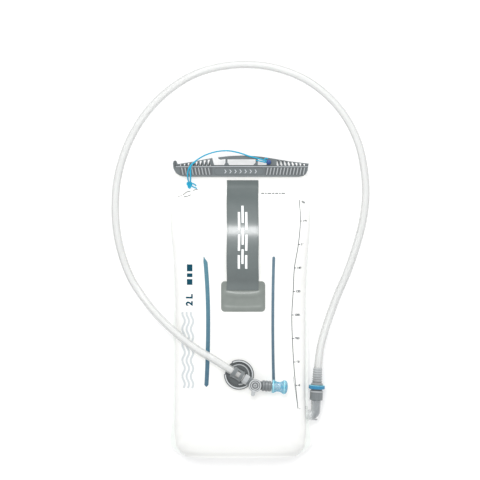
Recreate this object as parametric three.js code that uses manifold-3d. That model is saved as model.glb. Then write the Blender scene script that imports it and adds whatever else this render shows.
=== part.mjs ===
// A two-litre hydration bladder lying on its back: a welded film reservoir closed by a slide-on bar, with a
// drinking hose that leaves a push-in coupling at its side, loops round the top and comes to rest on the front.
// Millimetres. +X across the reservoir, +Y towards its mouth, +Z up out of its front. The origin is the middle
// of the flat on its back, which is what it lies on.
import * as THREE from "three";
import { mergeVertices } from "three/addons/utils/BufferGeometryUtils.js";
import Module from "manifold-3d";

const wasm = await Module();
wasm.setup();

// ---------------------------------------------------------------- driving dimensions
const GAP = 0.35; // between pieces that touch
const FILM = 0.7; // reservoir film
const CROWN = 31; // front of the full reservoir, above its side seams
const BELLY = 19.5; // back of the full reservoir, below its side seams
const SEAM_Z = FILM + BELLY + GAP / 2; // height of the side seams
const FRONT_POWER = 2.6; // superellipse of the front's cross-section
const BACK_POWER = 3.5; // and of the back's, which is flatter
const BOTTOM_Y = -187;
const NECK_Y = 150; // where the two films lie flat together
const FOLD_Y = 162; // centre of the roll-over inside the closure
const FOLD_END_Y = 158.5;

// How the full reservoir's outline and thickness change along its length: [y, value].
const HALF_WIDTH = [
  [-187, 68], [-180, 75], [-170, 79], [-150, 80.2], [-100, 79.5], [0, 79.5], [60, 82], [95, 84.8],
  [112, 84.6], [128, 80.5], [140, 77.8], [150, 77.2],
];
const FRONT_RISE = [
  [-187, 23], [-180, 26.5], [-165, 30], [-140, 31], [40, 31], [70, 29.4], [95, 23.5], [112, 14.5], [128, 5],
  [138, 1], [150, 0],
];
const BACK_DEPTH = [
  [-187, 19.5], [60, 19.5], [80, 18.4], [95, 15], [112, 9], [128, 3], [138, 0.6], [150, 0],
];
const SEAM_WIDTH = [[-187, 2.5], [-171, 8.5], [-152, 5], [-130, 3.5], [150, 3.5]]; // ears at the bottom corners
const SEAM_SHARE = 0.9; // of the sheet's parameter, the rest is seam

const BAFFLE_X = 41;
const BAFFLE = { low: -100, high: 58, web: 0.8, strip: 5 };
const CREASE = { depth: 3, width: 9 }; // where a baffle holds the front in

const STRAP = { x: 2.6, halfWidth: 19.5, thick: 1.2 };
const TAB = { x: 3.2, halfWidth: 26.8, low: -8.5, high: 28.6, corner: 4.5, thick: 0.9 };

const SLIDER = { left: -83.2, right: 84, stop: 2.1, low: 156.4, high: 169.1, wall: 2.2, slot: 1.7 };
const SLIDER_Z = SEAM_Z + 1.5;
const CAVITY = { half: 3.4, low: 157.8, high: 165.6 };
const RIB = { wide: 1.3, low: 158.8, tall: 8.8, proud: 0.7, pitch: 4.1, slant: 0.2 };
const LADDER_HALF = 1.6; // half the thickness of the closure's upper edge
const HANG_Y = 178; // underside of the bar that the reservoir hangs by

const HOSE = { outer: 4.75, bore: 3.3 };
const FLOOR_Z = HOSE.outer + 0.1;
const PORT_Y = -136.5;
const COUPLING = { x: 93.1, y: -118.5, tilt: -3.1 }; // degrees about +Z
const CLIP = { x: -0.6, y: -85.4, angle: -32 }; // the hose's heading where it meets the valve
const HOSE_Z = 64.8; // hose centre over the front, on its clip
const VALVE_X = 21.6; // clip centre to valve centre, along the hose
const OUTLET_TURN = 28; // the valve's outlet against its inlet, degrees

// ---------------------------------------------------------------- colours
const material = (color, roughness, metalness = 0) =>
  new THREE.MeshStandardMaterial({ color, roughness, metalness });
const clearFilm = material(0xf2f5f4, 0.3);
const blueFilm = material(0x5b8ba6, 0.4);
const greyStrap = material(0x6f7b7c, 0.45);
const greyTab = material(0x99a19b, 0.4);
const greyPlastic = material(0x84878c, 0.42);
const paleGrey = material(0xb4b8ba, 0.35);
const darkGrey = material(0x5c6066, 0.5);
const blueRing = material(0x3a93c6, 0.38);
const blueCord = material(0x2aa3cf, 0.6);
const navy = material(0x2a4f94, 0.5);
const hoseClear = material(0xe6e7e6, 0.25);
const blueSilicone = material(0x58bfe2, 0.3);
const blackRubber = material(0x232426, 0.7);
const steel = material(0xb9bcc0, 0.3, 0.9);

// ---------------------------------------------------------------- geometry tools
const vec = (x, y, z = 0) => new THREE.Vector3(x, y, z);
const rad = THREE.MathUtils.degToRad;

function solidOf(geometry) {
  const bare = geometry.index ? geometry.toNonIndexed() : geometry.clone();
  bare.deleteAttribute("normal");
  bare.deleteAttribute("uv");
  const merged = mergeVertices(bare, 1e-4);
  return new wasm.Manifold(
    new wasm.Mesh({
      numProp: 3,
      vertProperties: merged.attributes.position.array,
      triVerts: new Uint32Array(merged.index.array),
    }),
  );
}

function geometryOf(solid) {
  const { vertProperties, triVerts } = solid.getMesh();
  const geometry = new THREE.BufferGeometry();
  geometry.setAttribute("position", new THREE.BufferAttribute(vertProperties, 3));
  geometry.setIndex(new THREE.BufferAttribute(triVerts, 1));
  geometry.computeVertexNormals();
  return geometry;
}

const join = (...geometries) => geometryOf(geometries.map(solidOf).reduce((a, b) => a.add(b)));
const cut = (geometry, ...tools) =>
  geometryOf(tools.map(solidOf).reduce((a, b) => a.subtract(b), solidOf(geometry)));
const keepInside = (geometry, tool) => geometryOf(solidOf(geometry).intersect(solidOf(tool)));

// A smooth curve through [position, value] stations that never overshoots them, level beyond both ends.
function profile(stations) {
  const slope = (i) => (stations[i + 1][1] - stations[i][1]) / (stations[i + 1][0] - stations[i][0]);
  const tangent = stations.map((_, i) => {
    if (i === 0 || i === stations.length - 1) return 0;
    const before = slope(i - 1);
    const after = slope(i);
    return before * after > 0 ? (2 * before * after) / (before + after) : 0;
  });
  return (y) => {
    const last = stations.length - 1;
    if (y <= stations[0][0]) return stations[0][1];
    if (y >= stations[last][0]) return stations[last][1];
    const i = stations.findIndex((s) => s[0] > y) - 1;
    const width = stations[i + 1][0] - stations[i][0];
    const t = (y - stations[i][0]) / width;
    const rise = stations[i + 1][1] - stations[i][1];
    const ease = t * t * (3 - 2 * t);
    return stations[i][1] + rise * ease + width * (tangent[i] * t * (1 - t) ** 2 - tangent[i + 1] * t * t * (1 - t));
  };
}

// A sheet of even thickness about the surface point(u, v), as one closed body.
function sheet(point, us, vs, thick) {
  const step = 1e-3;
  const sides = [1, -1].map((side) =>
    vs.map((v) =>
      us.map((u) => {
        const along = point(u + step, v).sub(point(u - step, v));
        const up = point(u, v + step).sub(point(u, v - step));
        const normal = along.cross(up).normalize();
        return point(u, v).addScaledVector(normal, (side * thick) / 2);
      }),
    ),
  );
  const [top, under] = sides;
  const corners = [];
  const quad = (a, b, c, d) => [a, b, c, a, c, d].forEach((p) => corners.push(p.x, p.y, p.z));
  const rows = vs.length - 1;
  const columns = us.length - 1;
  for (let j = 0; j < rows; j++) {
    for (let i = 0; i < columns; i++) {
      quad(top[j][i], top[j][i + 1], top[j + 1][i + 1], top[j + 1][i]);
      quad(under[j][i], under[j + 1][i], under[j + 1][i + 1], under[j][i + 1]);
    }
    quad(top[j][0], top[j + 1][0], under[j + 1][0], under[j][0]);
    quad(top[j][columns], under[j][columns], under[j + 1][columns], top[j + 1][columns]);
  }
  for (let i = 0; i < columns; i++) {
    quad(top[0][i], under[0][i], under[0][i + 1], top[0][i + 1]);
    quad(top[rows][i], top[rows][i + 1], under[rows][i + 1], under[rows][i]);
  }
  const geometry = new THREE.BufferGeometry();
  geometry.setAttribute("position", new THREE.Float32BufferAttribute(corners, 3));
  return geometry;
}

const spread = (from, to, count) =>
  Array.from({ length: count + 1 }, (_, i) => from + ((to - from) * i) / count);

// A turned piece about +Y from [radius, height] points; a piece with a bore closes on its first point.
const turned = (points, sides = 18) =>
  new THREE.LatheGeometry(points.map(([r, y]) => new THREE.Vector2(r, y)), sides);
const ring = (inner, outer, low, high, sides = 18) =>
  turned([[inner, low], [outer, low], [outer, high], [inner, high], [inner, low]], sides);
const rod = (radius, low, high, sides = 20) =>
  new THREE.CylinderGeometry(radius, radius, high - low, sides).translate(0, (low + high) / 2, 0);
const alongX = (geometry) => geometry.rotateZ(-Math.PI / 2); // a piece about +Y, turned to lie about +X
const alongZ = (geometry) => geometry.rotateX(Math.PI / 2);
const box = (x0, x1, y0, y1, z0, z1) =>
  new THREE.BoxGeometry(x1 - x0, y1 - y0, z1 - z0).translate((x0 + x1) / 2, (y0 + y1) / 2, (z0 + z1) / 2);

const plate = (shape, z0, z1) =>
  new THREE.ExtrudeGeometry(shape, { depth: z1 - z0, bevelEnabled: false, curveSegments: 6 }).translate(0, 0, z0);
const outline = (points) => new THREE.Shape(points.map(([x, y]) => new THREE.Vector2(x, y)));

function circle(radius, sides) {
  const turn = (2 * Math.PI) / sides;
  return Array.from({ length: sides }, (_, i) => [radius * Math.cos(i * turn), radius * Math.sin(i * turn)]);
}

// A tube or a solid cord along a curve.
function swept(curve, steps, outer, sides, bore = 0, boreSides = 8) {
  const section = outline(circle(outer, sides));
  if (bore) section.holes.push(new THREE.Path(circle(bore, boreSides).map(([x, y]) => new THREE.Vector2(x, y))));
  return new THREE.ExtrudeGeometry(section, { extrudePath: curve, steps, bevelEnabled: false });
}

// ---------------------------------------------------------------- reservoir film
const halfWidth = profile(HALF_WIDTH);
const frontRise = profile(FRONT_RISE);
const backDepth = profile(BACK_DEPTH);
const seamWidth = profile(SEAM_WIDTH);
const bulge = (share, power) => Math.max(0, 1 - Math.abs(share) ** power) ** (1 / power);

// How far a baffle draws the front in at (x, y).
function crease(x, y) {
  const along =
    THREE.MathUtils.smoothstep(y, BAFFLE.low - 12, BAFFLE.low + 12) *
    (1 - THREE.MathUtils.smoothstep(y, BAFFLE.high - 12, BAFFLE.high + 12));
  return CREASE.depth * along * Math.exp(-(((Math.abs(x) - BAFFLE_X) / CREASE.width) ** 2));
}

const FILM_OFFSET = GAP / 2 + FILM / 2; // a film's middle from the seam's plane
const frontZ = (x, y) =>
  SEAM_Z + FILM_OFFSET + Math.max(0, frontRise(y) * bulge(x / halfWidth(y), FRONT_POWER) - crease(x, y));
const frontFace = (x, y) => frontZ(x, y) + FILM / 2;
const BACK_FLAT = 1.06; // over 1, so that the back has a true flat

// Across the film: seam, cross-section, seam. u runs from -1 to 1.
function across(u, y, power) {
  const side = Math.sign(u);
  const share = Math.min(1, Math.abs(u) / SEAM_SHARE);
  const turn = (share * Math.PI) / 2;
  const x = halfWidth(y) * Math.sin(turn) ** (2 / power);
  const seam = (seamWidth(y) * Math.max(0, Math.abs(u) - SEAM_SHARE)) / (1 - SEAM_SHARE);
  return { x: side * (x + seam), swell: share >= 1 ? 0 : Math.cos(turn) ** (2 / power) };
}

// Past the neck the films run straight, roll forwards over the bend and come part of the way back down.
function rolled(distance, offset) {
  const straight = FOLD_Y - NECK_Y;
  const bend = FILM_OFFSET + 0.9 - offset;
  const centre = SEAM_Z + FILM_OFFSET + 0.9;
  if (distance <= straight) return { y: NECK_Y + distance, z: SEAM_Z + offset };
  const turn = (distance - straight) / bend;
  if (turn < Math.PI) return { y: FOLD_Y + bend * Math.sin(turn), z: centre - bend * Math.cos(turn) };
  return { y: FOLD_Y - (turn - Math.PI) * bend, z: centre + bend };
}

function film(offset, power, swellZ) {
  return (u, v) => {
    const y = Math.min(v, NECK_Y);
    const { x, swell } = across(u, y, power);
    if (v > NECK_Y) {
      const over = rolled(v - NECK_Y, offset);
      return vec(x, over.y, over.z);
    }
    return vec(x, y, SEAM_Z + offset + swellZ(x, y, swell));
  };
}

function filmRows(offset) {
  const bend = FILM_OFFSET + 0.9 - offset;
  const straight = FOLD_Y;
  const around = spread(0, Math.PI, 5).map((turn) => straight + turn * bend);
  const end = straight + Math.PI * bend + (FOLD_Y - FOLD_END_Y);
  return [
    ...spread(BOTTOM_Y, -165, 4), -150, ...spread(-125, 35, 5), 52, 68, ...spread(80, 140, 9), NECK_Y, ...around, end,
  ];
}

const filmColumns = [-1, ...spread(-SEAM_SHARE, SEAM_SHARE, 16), 1];

const portCut = () => [
  alongX(rod(6.4, 70, 96, 20)).translate(0, PORT_Y, SEAM_Z),
  alongX(rod(11.4, 80.9, 96, 20)).translate(0, PORT_Y, SEAM_Z),
];

function frontPanel() {
  const surface = film(FILM_OFFSET, FRONT_POWER, (x, y, swell) => Math.max(0, frontRise(y) * swell - crease(x, y)));
  return cut(sheet(surface, filmColumns, filmRows(FILM_OFFSET), FILM), ...portCut());
}

function backPanel() {
  const surface = film(-FILM_OFFSET, BACK_POWER, (x, y, swell) => -backDepth(y) * Math.min(1, BACK_FLAT * swell));
  return cut(sheet(surface, filmColumns, filmRows(-FILM_OFFSET), FILM), ...portCut());
}

// The bottom is a plate of film across the end, set back from the edges it is welded between.
function bottomGusset() {
  const y = BOTTOM_Y + 2.5;
  const inset = 1.4;
  const wide = halfWidth(y) - inset;
  const shares = spread(-0.98, 0.98, 16);
  const top = shares.map((s) => [s * wide, SEAM_Z + frontRise(y) * bulge(s, FRONT_POWER) - inset]);
  const low = shares.map((s) => [
    -s * wide,
    SEAM_Z - backDepth(y) * Math.min(1, BACK_FLAT * bulge(s, BACK_POWER)) + inset,
  ]);
  const flat = new THREE.ExtrudeGeometry(outline([...top, ...low]), { depth: 1, bevelEnabled: false });
  return flat.rotateX(Math.PI / 2).translate(0, y + 1, 0);
}

// An inner web that holds the front and the back together, with a weld strip along each edge.
function baffle(side) {
  const x = side * BAFFLE_X;
  const low = FILM + GAP;
  const high = frontZ(BAFFLE_X, BAFFLE.high) - FILM / 2 - 1.2;
  const half = BAFFLE.strip / 2;
  return join(
    box(x - BAFFLE.web / 2, x + BAFFLE.web / 2, BAFFLE.low, BAFFLE.high, low, high),
    box(x - half, x + half, BAFFLE.low, BAFFLE.high, low, low + 0.8),
    box(x - half, x + half, BAFFLE.low, BAFFLE.high, high - 0.8, high),
  );
}

// ---------------------------------------------------------------- filling handle
const strapLine = new THREE.CatmullRomCurve3(
  [
    [152.5, 22.4], [146, 22.7], [136, 27], [120, 38.5], [100, 51], [80, 58.4], [62, 61.6], [46, 61.4], [34, 58],
    [26, 55], [17, 54.6],
  ].map(([y, z]) => vec(0, y, z)),
);

function handleStrap() {
  const point = (u, v) => {
    const at = strapLine.getPoint(THREE.MathUtils.clamp(1 - v, 0, 1));
    return vec(STRAP.x + u * STRAP.halfWidth, at.y, at.z);
  };
  return sheet(point, spread(-1, 1, 2), spread(0.002, 0.998, 24), STRAP.thick);
}

function handleTab() {
  const { corner, thick, low, high } = TAB;
  const point = (u, v) => {
    const fromEnd = Math.min(corner, v - low, high - v);
    const half = TAB.halfWidth - corner + Math.sqrt(Math.max(0, corner ** 2 - (corner - fromEnd) ** 2));
    const x = TAB.x + u * half;
    return vec(x, v, frontFace(x, v) + GAP + thick / 2 + 0.1);
  };
  const rounding = [0.05, 0.4, 1.4, 2.8, corner];
  const rows = [...rounding.map((d) => low + d), ...spread(low + 9, high - 9, 2), ...rounding.map((d) => high - d).reverse()];
  return sheet(point, spread(-1, 1, 8), rows, thick);
}

// ---------------------------------------------------------------- slide-on closure
const SLIDER_OUTLINE = [
  [-66, 156.4], [72, 156.4], [77.5, 157.6], [80.6, 160.2], [82.4, 164], [84, 172.8], [60, 175.6], [38.7, 179.2], [26, 181.2], [12, 182.4],
  [0, 182.7], [-14, 182], [-27.7, 180.4], [-35, 179.6], [-58, 175.2], [-77, 172.2], [-77.8, 173.3], [-78.4, 175.3],
  [-80, 176.6], [-82, 176], [-83.2, 173], [-82.4, 166.6], [-79.2, 161], [-74.6, 157.8],
];

const slanted = (x, low, high, wide, lean) =>
  outline([
    [x - wide / 2, low], [x + wide / 2, low], [x + wide / 2 + lean * (high - low), high],
    [x - wide / 2 + lean * (high - low), high],
  ]);

// The straight upper edge either side of the middle, at x.
const ladderTop = (x) => (x < 0 ? 172.2 + ((x + 77) * 7.4) / 42 : 172.8 + ((84 - x) * 6.4) / 45.3);

function sliderWindows() {
  const shapes = [];
  for (let i = 0; i < 8; i++) {
    const x = -72.5 + i * 4.9;
    const high = ladderTop(x) - 1.3;
    if (high - 170.2 > 1.4) shapes.push(slanted(x, 170.2, high, 3, -0.15));
  }
  for (let i = 0; i < 8; i++) {
    const x = 45.5 + i * 4.6;
    const high = ladderTop(x) - 1.3;
    if (high - 170.2 > 1.4) shapes.push(slanted(x, 170.2, high, 2.8, 0.15));
  }
  shapes.push(
    outline([[-13.8, 171], [15.8, 171], [18.6, 174], [18.6, HANG_Y], [-16, HANG_Y], [-16, 174]]),
    outline([
      [-32.4, 171], [-20.2, 171], [-18.6, 173.5], [-18.6, 178.4], [-24.8, 177.6], [-26.8, 178.4], [-27.6, 180.2],
      [-28.2, 186], [-35.6, 186], [-34.2, 177],
    ]),
    outline([[21.4, 171], [31.5, 171], [33.6, 173.4], [33, 176.6], [21.4, 178.3]]),
  );
  return shapes.map((shape) => plate(shape, SLIDER_Z - 9, SLIDER_Z + 9));
}

function sliderRibs() {
  const ribs = [];
  const rows = [
    { from: -70.5, count: 9, lean: -RIB.slant },
    { from: 32, count: 12, lean: RIB.slant },
  ];
  const face = CAVITY.half + SLIDER.wall;
  for (const { from, count, lean } of rows) {
    for (let i = 0; i < count; i++) {
      const shape = slanted(from + i * RIB.pitch, RIB.low, RIB.low + RIB.tall, RIB.wide, lean);
      ribs.push(plate(shape, SLIDER_Z + face - 0.4, SLIDER_Z + face + RIB.proud));
      ribs.push(plate(shape, SLIDER_Z - face - RIB.proud, SLIDER_Z - face + 0.4));
    }
  }
  return ribs;
}

function slider() {
  const outer = CAVITY.half + SLIDER.wall;
  const slot = SLIDER.slot;
  const shift = SEAM_Z - SLIDER_Z; // the slot is on the seam's plane, the cavity is centred higher
  const section = outline([
    [SLIDER.low, -outer], [SLIDER.high - 1.5, -outer], [SLIDER.high, -outer + 1.5], [SLIDER.high, outer - 1.5],
    [SLIDER.high - 1.5, outer], [SLIDER.low, outer], [SLIDER.low, shift + slot], [CAVITY.low, shift + slot],
    [CAVITY.low, CAVITY.half], [CAVITY.high, CAVITY.half], [CAVITY.high, -CAVITY.half],
    [CAVITY.low, -CAVITY.half], [CAVITY.low, shift - slot], [SLIDER.low, shift - slot],
  ]);
  const length = SLIDER.right - SLIDER.left - 1;
  const channel = new THREE.ExtrudeGeometry(section, { depth: length, bevelEnabled: false })
    .applyMatrix4(new THREE.Matrix4().makeBasis(vec(0, 1, 0), vec(0, 0, 1), vec(1, 0, 0)))
    .translate(SLIDER.left + 1, 0, SLIDER_Z);
  const stop = box(SLIDER.left, SLIDER.left + SLIDER.stop, SLIDER.low, 181, SLIDER_Z - outer, SLIDER_Z + outer);
  const ladder = box(SLIDER.left, SLIDER.right, 167, 184, SLIDER_Z - LADDER_HALF, SLIDER_Z + LADDER_HALF);
  const silhouette = plate(outline(SLIDER_OUTLINE), SLIDER_Z - 9, SLIDER_Z + 9);
  const solid = keepInside(join(channel, stop, ladder, ...sliderRibs()), silhouette);
  return cut(solid, ...sliderWindows());
}

// ---------------------------------------------------------------- tether
const TETHER_RADIUS = 0.9;
const TETHER_LINE = [
  [31.4, 175.6, 26.8], [24, 178.2, 26.4], [10, 182, 25.7], [-2, 186, 25.2], [-15.6, 188.4, 25.2],
  [-30.6, 187.1, 25.9], [-44.4, 182.4, 27.4], [-54.4, 176.2, 29.2], [-61, 170.4, 30.4], [-64, 164.6, 30.7],
  [-64.9, 158.8, 30.4], [-64.7, 155.2, 28.9], [-64.3, 152.6, 26],
];
const tetherLine = new THREE.CatmullRomCurve3(TETHER_LINE.map((p) => vec(...p)));

// ---------------------------------------------------------------- outlet port and coupling
function portElbow() {
  const axis = vec(-Math.sin(rad(COUPLING.tilt)), Math.cos(rad(COUPLING.tilt)), 0);
  const end = vec(COUPLING.x, COUPLING.y, 0).addScaledVector(axis, -GAP);
  const corner = end.clone().addScaledVector(axis, -(end.y - PORT_Y) / axis.y);
  const bendIn = vec(corner.x - 6.4, PORT_Y);
  const bendOut = corner.clone().addScaledVector(axis, 6.4);
  const route = new THREE.CurvePath();
  route.add(new THREE.LineCurve3(vec(78.2, PORT_Y), bendIn));
  route.add(new THREE.QuadraticBezierCurve3(bendIn, corner, bendOut));
  route.add(new THREE.LineCurve3(bendOut, end));
  const tube = swept(route, 12, 5.9, 14, 4.2, 10);
  const flange = alongX(ring(5.4, 10.9, 81.3, 82.9, 20)).translate(0, PORT_Y, 0);
  return join(tube, flange).translate(0, 0, SEAM_Z);
}

const portRing = () => alongX(ring(4.3, 8, 74.6, 77.8, 20)).translate(0, PORT_Y, SEAM_Z);

// These are about the coupling's own axis, from the end of the port towards the hose.
const couplingBody = () =>
  turned([
    [4.8, 0], [7.6, 0], [8, 0.5], [8, 11.4], [7.6, 12], [7, 12], [7, 18.3], [4.8, 18.3], [4.8, 0],
  ], 24);
const releaseRing = () =>
  turned([
    [7.35, 13.6], [9.4, 13.6], [10, 14.2], [10, 17.6], [9.4, 18.6], [7.35, 18.6], [7.35, 13.6],
  ], 24);
const poppet = () => turned([[0, 1.6], [3.4, 1.6], [3.7, 2.2], [3.7, 3.4], [1.3, 4], [1.2, 5.6], [0, 5.6]], 20);

class Helix extends THREE.Curve {
  constructor(radius, low, high, turns) {
    super();
    Object.assign(this, { radius, low, high, turns });
  }
  getPoint(t, target = vec(0, 0)) {
    const turn = 2 * Math.PI * this.turns * t;
    return target.set(this.radius * Math.cos(turn), this.low + (this.high - this.low) * t, this.radius * Math.sin(turn));
  }
}
const poppetSpring = () => swept(new Helix(2.7, -4.2, 0.8, 4), 40, 0.4, 5);

function hosePlug() {
  const barb = (y) => [[2.3, y], [2.7, y + 0.4], [2.25, y + 3]];
  return turned([
    [1.8, 6], [3.6, 6], [4.2, 6.7], [4.2, 9.2], [3.3, 9.2], [3.3, 11], [4.2, 11], [4.2, 18.9], [7.4, 18.9],
    [7.4, 20.4], [6.4, 21.3], [2.25, 21.3], ...barb(25), ...barb(29), [2.25, 34], [1.8, 34], [1.8, 6],
  ]);
}
const plugSeal = () => new THREE.TorusGeometry(4.05, 0.42, 6, 18).rotateX(Math.PI / 2).translate(0, 10.1, 0);

function strainRelief() {
  const wall = [[5.15, 21.7], [6.1, 21.7]];
  for (let i = 0; i < 5; i++) {
    const y = 22.6 + i * 3.4;
    const radius = 6.15 - 0.06 * i;
    wall.push([radius - 0.3, y], [radius + 0.15, y + 0.5], [radius + 0.15, y + 2], [radius - 0.3, y + 2.6]);
  }
  return turned([...wall, [5.7, 39.6], [5.15, 39.6], [5.15, 21.7]]);
}

// ---------------------------------------------------------------- hose
const couplingAt = (distance) => {
  const tilt = rad(COUPLING.tilt);
  return [COUPLING.x - Math.sin(tilt) * distance, COUPLING.y + Math.cos(tilt) * distance, SEAM_Z];
};
const clipAt = (distance) => {
  const heading = rad(CLIP.angle);
  return [CLIP.x + Math.cos(heading) * distance, CLIP.y + Math.sin(heading) * distance, HOSE_Z];
};
const HOSE_LINE = [
  couplingAt(21.7), couplingAt(30), couplingAt(38), [96.3, -70, 20], [98.2, -56, 18.2], [101.8, -41, 14.8],
  [106.6, -26, 10.8], [113, -8, 7], [121, 12.5, 5.1], [132.3, 38.7, FLOOR_Z], [143.2, 70.3, FLOOR_Z],
  [151.5, 101.6, FLOOR_Z], [155.3, 133.8, FLOOR_Z], [153.2, 166.7, FLOOR_Z], [145.7, 199.6, FLOOR_Z],
  [130.5, 230.8, FLOOR_Z], [107.9, 257.7, FLOOR_Z], [79.3, 278.5, FLOOR_Z], [45.3, 291.6, FLOOR_Z],
  [11.2, 296.3, FLOOR_Z], [-23.6, 293.9, FLOOR_Z], [-57.3, 284.1, FLOOR_Z], [-86.2, 266.6, FLOOR_Z],
  [-111.4, 243, FLOOR_Z], [-130.5, 215.9, FLOOR_Z], [-144.1, 186.3, FLOOR_Z], [-152.5, 155.1, FLOOR_Z],
  [-155.3, 122.9, FLOOR_Z], [-153.5, 90.3, FLOOR_Z], [-146.1, 57.4, 5], [-135.1, 30.1, 6.2], [-121.6, 9.6, 11],
  [-107.2, -8.3, 20.4], [-93, -22.4, 32], [-78.5, -34.8, 43], [-63.5, -46.6, 52], [-49, -56.2, 58.8],
  clipAt(-40), clipAt(-28), clipAt(-14), clipAt(4.7),
];
const hoseLine = new THREE.CatmullRomCurve3(HOSE_LINE.map((p) => vec(...p)), false, "centripetal");

// ---------------------------------------------------------------- hose clip
// About the clip's centre, +X along the hose towards the valve, z from the hose's own centre.
function clipCradle() {
  const tube = alongX(ring(5.1, 6.6, -10.5, 3.4));
  const foot = alongZ(rod(6.4, -7.3, -5)).translate(-1.5, 0, 0);
  const bore = alongX(rod(5.1, -20, 20));
  const window = box(-5.4, -0.6, -4.4, 4.4, 2.2, 9);
  const pocket = alongZ(rod(4.6, -9, -5.95)).translate(-1.5, 0, 0);
  return cut(join(tube, foot), bore, window, pocket);
}
const cradleMagnet = () => alongZ(rod(4.2, -7.25, -6.3)).translate(-1.5, 0, 0);

function clipBase() {
  const dish = alongZ(
    turned([
      [0, -9.6], [16.8, -9.6], [18.2, -8.4], [18.2, -7], [17.4, -6.4], [15.6, -6.4], [14.8, -7], [14.4, -7.8],
      [0, -7.8],
    ], 28),
  );
  const rails = [-1, 1].flatMap((side) => [
    box(-12, 12, side > 0 ? 10 : -11.6, side > 0 ? 11.6 : -10, -12.1, -9.2),
    box(-12, 12, side > 0 ? 6.5 : -11.6, side > 0 ? 11.6 : -6.5, -12.1, -11.2),
  ]);
  const mouth = box(-24, -9, -8.2, 8.2, -7.8, 0);
  const pocket = alongZ(rod(4.6, -8.9, 0));
  return cut(join(dish, ...rails), mouth, pocket).translate(-1.5, 0, 0);
}
const baseMagnet = () => alongZ(rod(4.2, -8.55, -7.65)).translate(-1.5, 0, 0);

// ---------------------------------------------------------------- shut-off and bite valve
// About the valve's centre, +X along the hose away from the clip.
function valveBody() {
  const housing = alongZ(turned([[0, -5.1], [5.6, -5.1], [6.8, -4], [6.8, 4.6], [6.3, 5.1], [0, 5.1]]));
  const inlet = alongX(
    turned([
      [0, -26.5], [2.2, -26.5], [2.65, -25.6], [2.2, -22.8], [2.65, -22], [2.2, -19.2], [2.2, -16.4], [5.5, -16.4],
      [5.9, -15.9], [5.9, -10.6], [5.3, -10], [4.9, -9.8], [4.9, -3], [0, -3],
    ]),
  );
  const outlet = alongX(turned([[0, 3], [5.4, 3], [5.4, 7.9], [4.9, 7.9], [4.9, 19.8], [0, 19.8]]));
  outlet.rotateZ(rad(OUTLET_TURN));
  const rotorBore = alongZ(rod(5, -3.6, 8, 22));
  const inletBore = alongX(rod(1.7, -30, 0, 12));
  const outletBore = alongX(rod(1.9, 0, 30, 12)).rotateZ(rad(OUTLET_TURN));
  return cut(join(housing, inlet, outlet), rotorBore, inletBore, outletBore);
}

function shutoffKnob() {
  const stem = turned([
    [0, -3.2], [4.55, -3.2], [4.55, 2.2], [3.7, 2.2], [3.7, 3.4], [4.55, 3.4], [4.55, 5.45], [7.3, 5.45], [7.8, 6],
    [7.8, 7.6], [7.2, 8.2], [5.6, 8.2], [5.3, 7.7], [4.3, 7.7], [4, 8.2], [0, 8.2],
  ], 22);
  const lever = box(-2.6, 2.6, 6, 13, 6.3, 8).rotateZ(rad(180 - 15 - CLIP.angle));
  const waterway = alongX(rod(1.9, -10, 10, 12));
  return cut(join(alongZ(stem), lever), waterway);
}
const knobSeal = () => new THREE.TorusGeometry(4.35, 0.34, 6, 18).translate(0, 0, 2.8);

// About the valve's centre, +X along the outlet.
const swivelCollar = () =>
  alongX(
    turned([
      [5.25, 8.3], [6.3, 8.3], [6.6, 8.8], [6.6, 13.2], [6.2, 13.6], [6.2, 14.4], [6.6, 14.8], [6.6, 17.6],
      [6.1, 18.1], [6.1, 19.4], [5.25, 19.4], [5.25, 8.3],
    ], 20),
  );
const biteValve = () =>
  alongX(
    turned([
      [2, 20.3], [7.2, 20.3], [8, 21.2], [8, 23.2], [7, 24.4], [6.3, 26.4], [6.3, 30], [7, 32], [8.2, 33.4],
      [8.4, 35], [7.6, 37.4], [5.4, 39.2], [2, 39.5], [2, 20.3],
    ], 20),
  ).scale(1, 1, 0.8);

// ---------------------------------------------------------------- assembly
const part = new THREE.Group();

function place(parent, name, geometry, finish) {
  const mesh = new THREE.Mesh(geometry, finish);
  mesh.name = name;
  parent.add(mesh);
  return mesh;
}

place(part, "front_panel", frontPanel(), clearFilm);
place(part, "back_panel", backPanel(), clearFilm);
place(part, "bottom_gusset", bottomGusset(), clearFilm);
place(part, "left_baffle", baffle(-1), blueFilm);
place(part, "right_baffle", baffle(1), blueFilm);
place(part, "handle_strap", handleStrap(), greyStrap);
place(part, "handle_tab", handleTab(), greyTab);
place(part, "slider", slider(), greyPlastic);
place(part, "tether", swept(tetherLine, 32, TETHER_RADIUS, 6), blueCord);
const tetherStop = new THREE.SphereGeometry(2.7, 12, 8);
place(part, "tether_stop", tetherStop, navy).position.set(34.6, 174.4, SLIDER_Z + LADDER_HALF + GAP + 2.7);
const tetherKnot = new THREE.SphereGeometry(2.5, 12, 8).scale(1.1, 1.5, 1);
place(part, "tether_knot", tetherKnot, blueCord).position.set(-62.8, 145.8, SEAM_Z + GAP / 2 + FILM + GAP + 3.1);
const eyelet = alongZ(ring(1.9, 3.5, 0, 1, 20));
place(part, "tether_eyelet", eyelet, clearFilm).position.set(-64.3, 152.1, SEAM_Z + GAP / 2 + FILM + GAP);

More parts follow.
